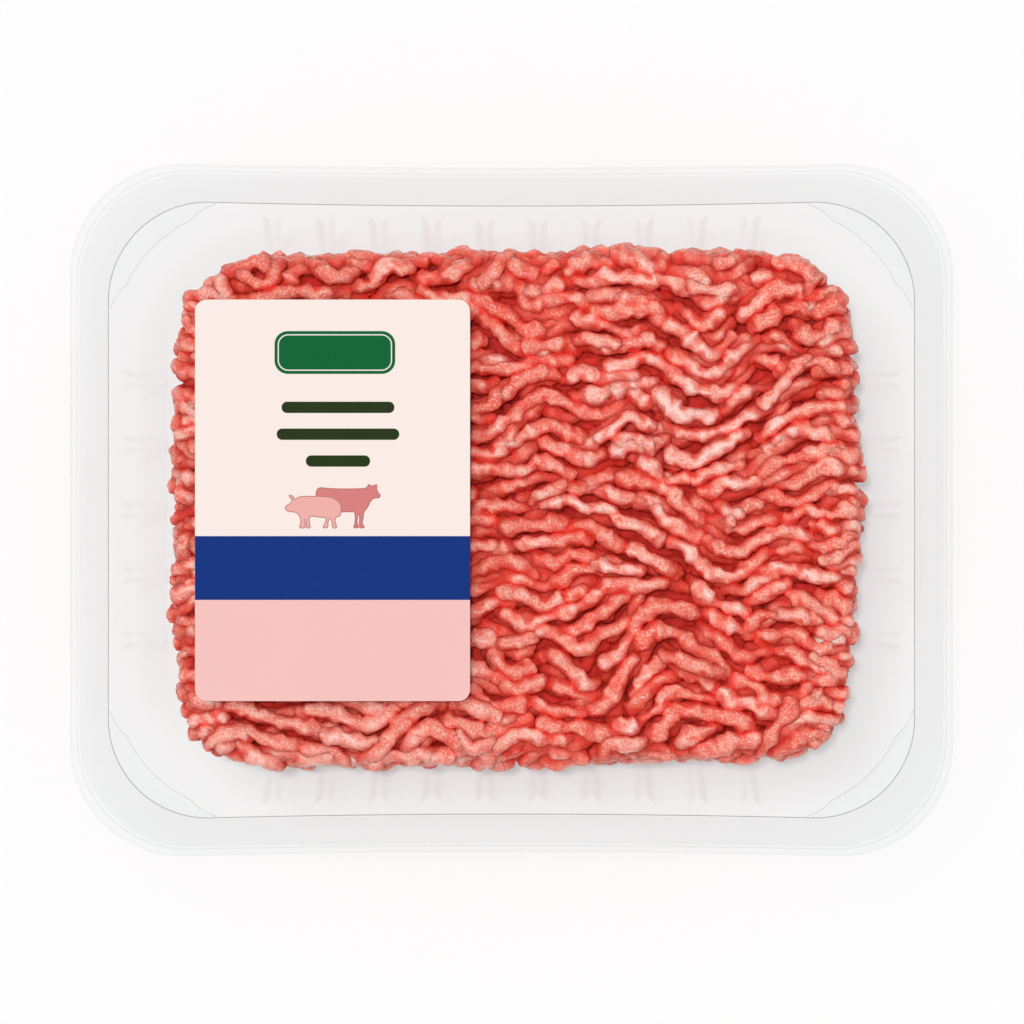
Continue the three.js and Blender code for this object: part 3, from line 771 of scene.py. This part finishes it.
def flow_angle(x, y, ripple):
    """The angle of the strands at a place, in radians."""
    total = CALM_WEIGHT
    angle = CALM_WEIGHT * CALM_ANGLE
    for centre_x, centre_y, reach_x, reach_y, rise in FLOW:
        away = ((x - centre_x) / reach_x) ** 2 + ((y - centre_y) / reach_y) ** 2
        if away > 4:
            continue
        weight = math.exp(-away * away)
        total += weight
        angle += weight * rise
    angle /= total
    calm = CALM_WEIGHT / total
    wave = 12 * math.sin(x / 3.9 + 2.1 * math.sin(y / 13.0)) + 7 * math.sin(x / 2.3 - y / 6.1)
    swirl = 13 * math.sin(x / 6.7 + 5 * math.sin(y / 9.3))
    wave += swirl * math.sin(y / 4.1 + 3 * math.sin(x / 11.7))
    edge = float(np.clip(1 - depth_inside(x, y) / 15, 0, 1))
    return math.radians(angle + ripple * wave * (0.35 + 0.65 * calm + 1.3 * edge))


class Spread:
    """Keeps strands apart: remembers points in square cells."""

    def __init__(self, gap):
        self.gap = gap
        self.cells = {}

    def cell(self, x, y):
        return int(math.floor(x / self.gap)), int(math.floor(y / self.gap))

    def near(self, x, y, gap, skip=None):
        cell_x, cell_y = self.cell(x, y)
        for i in (-1, 0, 1):
            for j in (-1, 0, 1):
                for px, py, owner in self.cells.get((cell_x + i, cell_y + j), ()):
                    if owner != skip and (px - x) ** 2 + (py - y) ** 2 < gap * gap:
                        return True
        return False

    def add(self, line, owner):
        for x, y in line:
            self.cells.setdefault(self.cell(x, y), []).append((x, y, owner))


def ragged(x, y):
    """How far the strands of the top stop short of the outline at a place."""
    across = 0.8 * math.sin(1.3 * y + 2 * math.sin(0.37 * y))
    along = 0.6 * math.sin(0.8 * x + 2 * math.sin(0.23 * x))
    return 1.1 + across + along


def lay_strands(rng, gap, shortest, longest, turn, ripple):
    """Lays strands evenly over the top, each along the flow, as flat lines."""
    spread = Spread(gap)
    strands = []
    half_x, half_y = MINCE_LENGTH / 2 + 1, MINCE_WIDTH / 2 + 1

    def taken(x, y, share, owner=None):
        """Whether a place is off the top, or too near another strand."""
        off = depth_inside(x, y) < EDGE_MARGIN + ragged(x, y)
        return off or spread.near(x, y, gap * share, owner)

    def grow(x, y, way, length, owner):
        line = []
        travelled = 0.0
        while travelled < length:
            angle = flow_angle(x, y, ripple) + turn
            x += way * STRAND_STEP * math.cos(angle)
            y += way * STRAND_STEP * math.sin(angle)
            travelled += STRAND_STEP
            if taken(x, y, NEAR_SHARE, owner):
                break
            line.append((x, y))
        return line

    starts = []
    for attempt in range(3):
        for row in np.arange(-half_y, half_y, gap * ROW_SHARE):
            for column in np.arange(-half_x, half_x, START_PITCH):
                x = column + rng.uniform(0, START_PITCH)
                starts.append((attempt, x, row + rng.uniform(0, 0.8)))
    # Each pass over the top fills what is left with shorter strands.
    least = (shortest * 0.6, 7.0, 5.0)
    for attempt, x, y in starts:
        if taken(x, y, START_SHARE):
            continue
        owner = len(strands) + 1
        length = rng.uniform(shortest, longest)
        back = grow(x, y, -1, length * rng.uniform(0.2, 0.8), owner)
        ahead = grow(x, y, 1, length - len(back) * STRAND_STEP, owner)
        line = back[::-1] + [(x, y)] + ahead
        if len(line) * STRAND_STEP >= least[attempt]:
            spread.add(line, owner)
            strands.append(line)
    return strands


def add_strand(build, rng, line, radius, tone, depth, sides=11, step=0.85, torn_share=0.25):
    """Adds one lumpy strand with blunt or torn ends along a line of points."""
    line = resample(line, step)
    seed = rng.uniform(0, 900)
    run = np.arange(len(line)) * step
    marks = np.column_stack([run, np.full(len(run), seed), np.zeros(len(run))])
    wiggle = [noise(marks, 5.0, 31), noise(marks, 5.0, 32), 0.7 * noise(marks, 5.5, 33)]
    line = line + 1.15 * np.stack(wiggle, axis=1)
    along = unit(np.gradient(line, axis=0), 1e-9)
    up = np.array([0.0, 0.0, 1.0])
    if abs(along[:, 2]).max() > 0.85:
        up = np.array([0.31, 0.95, 0.1])
    side = unit(np.cross(up, along), 1e-9)
    lift = np.cross(along, side)
    size = radius * (1 + 0.28 * noise(marks, 3.6, 34) + 0.18 * noise(marks, 2.1, 35))
    shades = tone + 0.28 * noise(marks, 9.0, 36) + 0.22 * noise(marks, 4.0, 37)
    starts, ends = [], []
    for end, stack in ((0, starts), (-1, ends)):
        torn = rng.uniform() < torn_share
        reach = radius * (rng.uniform(1.0, 1.9) if torn else rng.uniform(0.7, 1.0))
        widths = (0.82, 0.55, 0.2) if torn else (0.93, 0.74, 0.36)
        places = (0.4, 0.75, 1.0) if torn else (0.45, 0.82, 1.0)
        lean = rng.uniform(-0.4, 0.4, 3) * radius * torn
        way = -1 if end == 0 else 1
        for width, place in zip(widths, places):
            centre = line[end] + way * along[end] * reach * place + lean * place**2
            stack.append((centre, size[end] * width))
    starts.reverse()
    centres = np.concatenate([[c for c, _ in starts], line, [c for c, _ in ends]])
    size = np.concatenate([[w for _, w in starts], size, [w for _, w in ends]])
    extend = [0] * 3 + list(range(len(line))) + [len(line) - 1] * 3
    side, lift, shades = side[extend], lift[extend], shades[extend]
    angle = np.linspace(0, 2 * np.pi, sides, endpoint=False)
    across, upward = np.cos(angle)[None, :, None], np.sin(angle)[None, :, None]
    ring = across * side[:, None, :] + upward * lift[:, None, :]
    surface = centres[:, None, :] + ring * size[:, None, None]
    spots = surface + seed
    bumps = 0.6 * noise(spots, 2.9, 3) + 0.55 * noise(spots, 1.7, 5) + 0.25 * noise(spots, 1.1, 6)
    surface = surface + ring * (bumps * (size / radius)[:, None])[:, :, None]
    surface[..., 2] = np.maximum(surface[..., 2], MEAT_FLOOR)
    around = np.roll(surface, -1, axis=1) - np.roll(surface, 1, axis=1)
    facing = unit(np.cross(around, np.gradient(surface, axis=0)), 1e-9)
    facing *= np.sign((facing * ring).sum(axis=2))[:, :, None]
    # Painted shade: a point is marked redder the more it faces down or inward, away from the light,
    # and the deeper it lies below the crests.
    near_side = np.clip(1.4 - inside_side(surface) / 7.0, 0, 1)
    sideways = (facing[:, :, :2] * outward(surface)).sum(axis=2)
    open_way = np.maximum(facing[:, :, 2], near_side * sideways)
    flank_shade = np.clip((1.0 - open_way) / 0.62, 0, 1) ** 0.8
    shade = np.clip(1 - (1 - depth(surface)) * (1 - 0.85 * flank_shade), 0, 1)
    tones = shades[:, None] + 0.34 * bumps
    build.grid(surface, tone=tones, depth=shade)
    for end, flip in ((0, True), (-1, False)):
        middle = surface[end].mean(axis=0)
        tip = middle + (centres[end] - centres[1 if end == 0 else -2]) * 0.25
        tip[2] = max(tip[2], MEAT_FLOOR)
        cap = np.stack([surface[end], np.repeat(tip[None], sides, axis=0)])
        build.grid(cap, flip=flip, tone=tones[end], depth=shade[end])


def top_depth(surface):
    """How far points lie below the crests of the top strands, as a share."""
    crest = top_height(surface[..., 0], surface[..., 1]) + 2.0
    return np.clip((crest - surface[..., 2]) / 4.2, 0, 1) ** 1.3


def make_layer(seed, gap, lengths, drop, turn, ripple, sides, step):
    """One layer of strands over the top."""
    rng = np.random.default_rng(seed)
    build = Build()
    for line in lay_strands(rng, gap, *lengths, turn, ripple):
        flat = np.array(line)
        x, y = flat[:, 0], flat[:, 1]
        z = top_height(x, y) + drop + rng.uniform(-0.8, 0.8)
        z = z + 0.9 * noise(raised(flat, rng.uniform(0, 900)), 9.0, 7)
        share = np.linspace(0, 1, len(x))
        ends = np.clip(1 - np.minimum(share, 1 - share) * len(x) * STRAND_STEP / 5.0, 0, 1)
        z = z - ends**2 * rng.uniform(1.0, 3.0)
        path = smooth(np.column_stack([x, y, z]), 2)
        radius = STRAND_RADIUS * rng.uniform(0.9, 1.08)
        tone = float(np.clip(rng.normal(0.36, 0.12), 0, 1))
        pale = math.exp(-(((x.mean() - 42) / 26) ** 2) - ((y.mean() - 25) / 17) ** 2)
        add_strand(build, rng, path, radius, tone + 0.65 * pale, top_depth, sides, step)
    return build


def outline_path(inset, z):
    """The block's outline at a height, rounder towards the base, from +X anticlockwise."""
    rounding = BASE_ROUNDING * (1 - z / CORE_TOP)
    radii = [corner + rounding for corner in MINCE_CORNERS]
    loop = rounded(MINCE_LENGTH / 2 - inset, MINCE_WIDTH / 2 - inset, radii, 24)
    loop = np.concatenate([loop, loop[:1]])
    lengths = np.linalg.norm(np.diff(loop, axis=0), axis=1)
    along = np.concatenate([[0.0], np.cumsum(lengths)])
    wanted = np.arange(0, along[-1], OUTLINE_STEP)
    flat = np.stack([np.interp(wanted, along, loop[:, k]) for k in (0, 1)], axis=1)
    flat = flat * np.column_stack(bulge(*(flat + MINCE_CENTRE).T))
    flat[:, 1] += MINCE_SLOPE * flat[:, 0]
    return flat + MINCE_CENTRE


def side_depth(surface):
    """How far points lie inside the outermost strands of the block's sides, as a share."""
    inside = np.clip((inside_side(surface) - 0.4) / 3.6, 0, 1)
    return np.minimum(inside, np.clip(top_depth(surface) * 1.5, 0, 1))


def make_sides():
    """The strands of the block's four sides, which run along them in uneven waves."""
    rng = np.random.default_rng(SIDE_SEED)
    build = Build()
    z = SIDE_START
    while z < CORE_TOP - 1.5:
        inset = 2.2 + SIDE_LEAN * max(0.0, 1 - z / LEAN_TOP)
        inset += max(0.0, z - (CORE_TOP - 4)) * 0.5
        loop = outline_path(inset, z)
        start = int(rng.integers(0, 80))
        while start < len(loop) + 20:
            length = int(rng.uniform(22, 90))
            index = np.arange(start, start + length) % len(loop)
            flat = loop[index]
            ahead = loop[(index + 1) % len(loop)] - flat
            out = unit(np.column_stack([ahead[:, 1], -ahead[:, 0]]))
            spots = raised(flat, z * 7.7)
            sway = 2.0 * noise(spots, 6.0, 21) + 1.0 * noise(spots, 3.3, 22)
            sway = sway + rng.uniform(-0.9, 0.3) - 2.2 * out[:, 0] ** 2
            climb = 1.6 * noise(spots, 8.0, 23) + rng.uniform(-0.5, 0.5)
            path = np.column_stack([flat + out * sway[:, None], z + climb])
            radius = STRAND_RADIUS * rng.uniform(0.9, 1.06)
            tone = float(np.clip(rng.normal(0.36, 0.18), 0, 1))
            add_strand(build, rng, path, radius, tone, side_depth)
            start += length + int(rng.integers(3, 9))
        z += SIDE_PITCH
    return build


def make_ends():
    """Rounded strand ends that poke out of the block's left and right sides and its corners."""
    rng = np.random.default_rng(END_SEED)
    build = Build()
    z = END_START
    while z < CORE_TOP + 0.5:
        inset = END_LEAN * max(0.0, 1 - z / LEAN_TOP)
        loop = outline_path(inset, z)
        start = int(rng.integers(0, 8))
        while start < len(loop) - 1:
            ahead = loop[start + 1] - loop[start]
            out = np.array([ahead[1], -ahead[0]]) / np.linalg.norm(ahead)
            if abs(out[0]) > 0.4:
                tip = loop[start] - out * rng.uniform(1.6, 4.0)
                bend = -out * 6.5 + np.array([-out[1], out[0]]) * rng.uniform(-2.8, 2.8)
                path = np.zeros((3, 3))
                path[:, :2] = [tip, tip + bend * 0.5 + rng.uniform(-0.3, 0.3, 2), tip + bend]
                level = z + rng.uniform(-0.8, 0.8)
                path[:, 2] = level + np.array([0, 0.5, 1]) * rng.uniform(-1.5, 1.5)
                radius = STRAND_RADIUS * rng.uniform(0.85, 1.1)
                tone = float(np.clip(rng.normal(0.38, 0.2), 0, 1))
                add_strand(build, rng, path, radius, tone, side_depth, sides=10, torn_share=0.0)
            start += int(rng.uniform(8.5, 12.5))
        z += END_PITCH
    return build


def seen_from_above(points):
    """Points as flat places on the block's top, and how far they come up."""
    return points[:, :2] - np.array(MINCE_CENTRE), points[:, 2]


def seen_from_sides(points):
    """Points as flat places on the block's unrolled sides, and how far they come out."""
    x, y = (points[:, :2] - np.array(MINCE_CENTRE)).T
    half_x, half_y = MINCE_LENGTH / 2, MINCE_WIDTH / 2
    on_end = half_x - np.abs(x) < half_y - np.abs(y)
    right = y - half_x - half_y
    left = half_x + half_y - y
    front = x + 2 * (half_x + half_y)
    around = np.where(on_end, np.where(x > 0, right, left), np.where(y > 0, -x, front))
    around = np.where(around > half_x * 2 + half_y, around - 4 * (half_x + half_y), around)
    places = np.column_stack([around, points[:, 2] - TRAY_HEIGHT / 2])
    return places, TRAY_LENGTH - depth_inside(*points[:, :2].T)


def relief_cells(places, size):
    """The cells of a relief that hold flat places."""
    cells = (places / RELIEF_CELL + np.array(size) / 2).astype(int)
    return tuple(np.clip(cells, 0, np.array(size) - 1).T)


def shifted(grid):
    """The grid and its eight neighbours, stacked."""
    return np.stack([np.roll(grid, (i, j), (0, 1)) for i in (-1, 0, 1) for j in (-1, 0, 1)])


def below_surface(points, view, size):
    """How far points lie below the meat's softened surface in a view."""
    places, reach = view(points)
    cells = relief_cells(places, size)
    surface = np.zeros(size)
    np.maximum.at(surface, cells, reach)
    for _ in range(RELIEF_SPREAD):
        surface = shifted(surface).max(axis=0)
    for _ in range(RELIEF_SOFTENING):
        surface = shifted(surface).mean(axis=0)
    return surface[cells] - reach


def make_strands(material):
    """All the strands of the block; where two meet, painted shade turns both redder, and their
    crests get a painted highlight.
    """
    pieces = {name: make_layer(*settings) for name, settings in LAYERS.items()}
    pieces["mince_sides"] = make_sides()
    pieces["mince_ends"] = make_ends()
    points = np.concatenate([rows for build in pieces.values() for rows in build.points])
    below = np.minimum(
        below_surface(points, seen_from_above, TOP_RELIEF),
        below_surface(points, seen_from_sides, SIDE_RELIEF),
    )
    counts = [sum(len(rows) for rows in build.points) for build in pieces.values()]
    for (name, build), under in zip(pieces.items(), np.split(below, np.cumsum(counts)[:-1])):
        # Painted shade: points sunk below the softened surface, where strands meet, turn redder.
        crease = np.clip(under / CREASE_DEPTH, 0, 1) ** 0.8
        depth = np.concatenate(build.facts["depth"])
        build.facts["depth"] = [1 - (1 - depth) * (1 - 0.8 * crease)]
        # Painted highlight: points at the top of the softened surface come out paler, those below
        # it darker.
        crest = np.clip(0.5 - under, 0, 1)
        build.facts["tone"] = [np.concatenate(build.facts["tone"]) + 0.2 * (crest - 0.4)]
        build.mesh(name, material, "minced_meat", "mince")


def make_core(material):
    """The body of meat under the strands, dark red as painted shade for the gaps between them."""
    rings = []
    for inset, z in CORE_RINGS:
        loop = outline_path(inset, z)
        pick = np.linspace(0, len(loop) - 1, CORE_STEPS).astype(int)
        rings.append(raised(loop[pick], z))
    top = rings[-1]
    rings += [top * [share, share, 1] for share in CORE_SHARES]
    build = Build()
    build.grid(np.stack([rings[0] * [CLOSED, CLOSED, 1]] + rings))
    return build.mesh("mince_core", material, "minced_meat", "mince")


# Film and label


def make_film(material):
    """The film: a thin flat sheet sealed over the flange."""
    outline = tray_ring(RIM_WIDTH, 0, FLANGE_CORNER - RIM_WIDTH / 2, 1, 0)
    lower = np.stack([outline * share for share in FILM_RINGS])
    upper = lower.copy()
    lower[:, :, 2] = FILM_Z
    upper[:, :, 2] = FILM_Z + FILM_THICKNESS
    build = Build()
    build.grid(upper)
    build.grid(lower, flip=True)
    build.grid(np.stack([lower[0], upper[0]]))
    return build.mesh("film_sheet", material, "clear_film", "film")


def rounded_outline(length, width, corner):
    """The outline of a rounded rectangle."""
    corner = min(corner, length / 2 - 1e-3, width / 2 - 1e-3)
    return rounded(length / 2, width / 2, [corner] * 4, 10)


def make_plate(name, outline, z, thickness, material, node=None):
    """A thin flat plate from an outline in the tray's plane."""
    count = len(outline)
    points = [(x * MM, y * MM, z * MM) for x, y in outline]
    points += [(x * MM, y * MM, (z + thickness) * MM) for x, y in outline]
    faces = [tuple(range(count - 1, -1, -1)), tuple(range(count, 2 * count))]
    faces += [(i, (i + 1) % count, count + (i + 1) % count, count + i) for i in range(count)]
    data = bpy.data.meshes.new(name)
    data.from_pydata(points, [], faces)
    data.validate()
    return dress(data, name, material, node)


def spline_outline(points, steps=8):
    """A smooth closed outline through points."""
    points = np.array(points)
    return smooth_path(np.concatenate([points[-1:], points, points[:2]]), steps)


PIG = [
    (-12.1, 5.0), (-11.8, 5.5), (-10.9, 6.1), (-10.4, 6.8), (-11.1, 8.1), (-10.2, 7.9),
    (-9.8, 7.2), (-8.2, 7.8), (-5.5, 7.9), (-1.9, 7.8), (0.2, 7.4), (1.7, 6.3), (2.2, 4.7),
    (1.9, 3.0), (0.9, 2.6), (0.6, 1.5), (1.0, 0.0), (0.1, 0.0), (-0.2, 1.6), (-0.7, 2.3),
    (-1.2, 1.3), (-1.3, 0.0), (-2.4, 0.0), (-1.8, 1.2), (-1.7, 2.4), (-3.3, 2.6), (-5.7, 2.8),
    (-6.0, 1.5), (-5.8, 0.0), (-6.6, 0.0), (-6.8, 1.8), (-7.2, 1.8), (-7.1, 0.0), (-8.4, 0.0),
    (-8.1, 1.4), (-8.5, 2.9), (-9.4, 3.8), (-10.6, 4.0), (-11.7, 4.3),
]
COW = [
    (-4.2, 8.4), (-3.9, 9.6), (-3.1, 10.1), (-0.5, 9.9), (3.0, 9.8), (7.9, 9.9), (8.9, 10.3),
    (9.3, 10.9), (9.9, 10.6), (10.6, 10.6), (11.3, 10.9), (11.3, 10.1), (11.6, 9.0),
    (12.2, 8.2), (11.9, 7.6), (10.8, 7.5), (9.9, 6.9), (9.0, 5.2), (8.1, 3.9), (7.8, 2.2),
    (7.6, 1.0), (8.1, 0.0), (7.0, 0.0), (7.0, 2.0), (6.8, 3.4), (6.5, 3.4), (6.3, 1.2),
    (6.6, 0.0), (5.5, 0.0), (5.8, 1.3), (5.7, 3.7), (4.4, 4.0), (2.0, 4.0), (-1.0, 4.6),
    (-3.6, 6.2),
]


def widened(outline, width):
    """A closed outline moved outwards by a width."""
    following = np.roll(outline, -1, axis=0)
    ahead = unit(following - np.roll(outline, 1, axis=0), 1e-9)
    area = np.sum(outline[:, 0] * following[:, 1] - following[:, 0] * outline[:, 1])
    return outline + np.sign(area) * width * np.column_stack([ahead[:, 1], -ahead[:, 0]])


def make_label(materials):
    """The paper label with its printed fields, bars and animals."""
    centre = np.array(LABEL_CENTRE)
    top = LABEL_WIDTH / 2
    paper = materials["paper"]
    sheet = rounded_outline(LABEL_LENGTH, LABEL_WIDTH, LABEL_CORNER) + centre
    make_plate("label_sheet", sheet, LABEL_Z, LABEL_THICKNESS, paper, "label")

    def shape(name, outline, x, y, ink, node=None, level=0):
        """A printed shape at a place on the label, in a layer."""
        outline = outline + centre + np.array([x, y])
        z = LABEL_Z + LABEL_THICKNESS + level * PRINT_STEP
        make_plate(name, outline, z, PRINT_THICKNESS, materials[ink], node)

    band = rounded_outline(LABEL_LENGTH, BAND_WIDTH, 0.01)
    band_y = top - BAND_DROP - BAND_WIDTH / 2
    shape("print_band", band, 0, band_y, "navy", "label_band")
    panel_width = LABEL_WIDTH - BAND_DROP - BAND_WIDTH
    panel = rounded_outline(LABEL_LENGTH, panel_width, LABEL_CORNER)
    # The panel's upper corners are square, where it meets the band.
    upper = panel[: len(panel) // 2]
    upper[:] = np.sign(upper) * [LABEL_LENGTH / 2, panel_width / 2]
    panel_y = -top + panel_width / 2
    shape("print_panel", panel, 0, panel_y, "rose", "label_panel")
    for level, (name, size, ink, slot, node) in enumerate(BADGE):
        badge = rounded_outline(*size)
        shape(name, badge, BADGE_SHIFT, top - BADGE_DROP, ink, node, level)
    for i, length in enumerate(BAR_LENGTHS):
        bar = rounded_outline(length, BAR_WIDTH, BAR_CORNER)
        y = top - BAR_DROP - BAR_PITCH * i
        shape(f"print_line_{i + 1}", bar, BAR_SHIFT, y, "ink", f"label_line_{i + 1}")
    foot = top - FIGURE_DROP
    for name, points, level in (("cow", COW, 0), ("pig", PIG, 2)):
        outline = spline_outline(points)
        edge, face = widened(outline, FIGURE_EDGE), widened(outline, FIGURE_INSET)
        slot = "print_" + name
        shape(slot + "_edge", edge, 0, foot, name + "_edge", None, level)
        shape(slot, face, 0, foot, name, "label_" + name, level + 1)


# Studio


def make_studio():
    """A light table under two broad lights, with the camera straight above."""
    floor = bpy.data.meshes.new("floor")
    half = FLOOR_HALF
    corners = [(-half, -half, 0), (half, -half, 0), (half, half, 0), (-half, half, 0)]
    floor.from_pydata(corners, [], [(0, 1, 2, 3)])
    floor.materials.append(floor_material())
    floor_piece = placed("floor", floor)
    floor_piece.location.z = FLOOR_Z

    scene = bpy.context.scene
    scene.world = bpy.data.worlds.new("studio")
    scene.world.use_nodes = True
    background = scene.world.node_tree.nodes["Background"]
    background.inputs["Color"].default_value = grey(1.0)
    background.inputs["Strength"].default_value = WORLD_LIGHT
    for name, energy, disc, towards in LIGHTS:
        light = bpy.data.lights.new(name, "SUN")
        light.energy = energy
        light.angle = math.radians(disc)
        piece = placed(name, light)
        piece.rotation_euler = Vector(towards).to_track_quat("-Z", "Y").to_euler()

    camera = bpy.data.cameras.new("camera")
    camera.sensor_width = SENSOR_WIDTH
    distance = CAMERA_PLACE[2] - TRAY_HEIGHT * MM
    camera.lens = TRAY_PIXELS / FRAME_PIXELS * SENSOR_WIDTH * distance / (TRAY_LENGTH * MM)
    camera.clip_end = 50
    scene.camera = placed("camera", camera)
    scene.camera.location = CAMERA_PLACE
    # Light crosses up to five sheets of plastic on its way to the floor, and as many back.
    scene.cycles.transparent_max_bounces = 24
    scene.cycles.max_bounces = 5
    scene.cycles.diffuse_bounces = 3
    scene.view_settings.view_transform = "Standard"
    scene.view_settings.look = "None"


def main():
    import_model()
    make_studio()
    tints = ((252, 253, 253), (249, 250, 250), (246, 245, 246), (184, 184, 186))
    tray = clear_material("tray_plastic", *tints, 0.64, 0.2, 0.15)
    make_tray(tray)
    make_lugs(tray)
    make_strands(meat_material())
    make_core(core_material())
    tints = (WHITE, WHITE, WHITE, (235, 236, 238))
    make_film(clear_material("film_plastic", *tints, 0.3, 0.3, 0.06))
    make_label(
        {
            "paper": print_material("paper", (227, 214, 208), 0.015),
            "navy": print_material("navy_ink", (6, 44, 115)),
            "rose": print_material("rose_ink", (224, 178, 174), 0.02),
            "green": print_material("green_ink", (0, 90, 45)),
            "ink": print_material("dark_ink", (32, 48, 15)),
            "pig": print_material("pig_ink", (218, 160, 153)),
            "cow": print_material("cow_ink", (197, 116, 114)),
            "pig_edge": print_material("pig_edge_ink", (176, 118, 114)),
            "cow_edge": print_material("cow_edge_ink", (170, 100, 98)),
        }
    )


main()
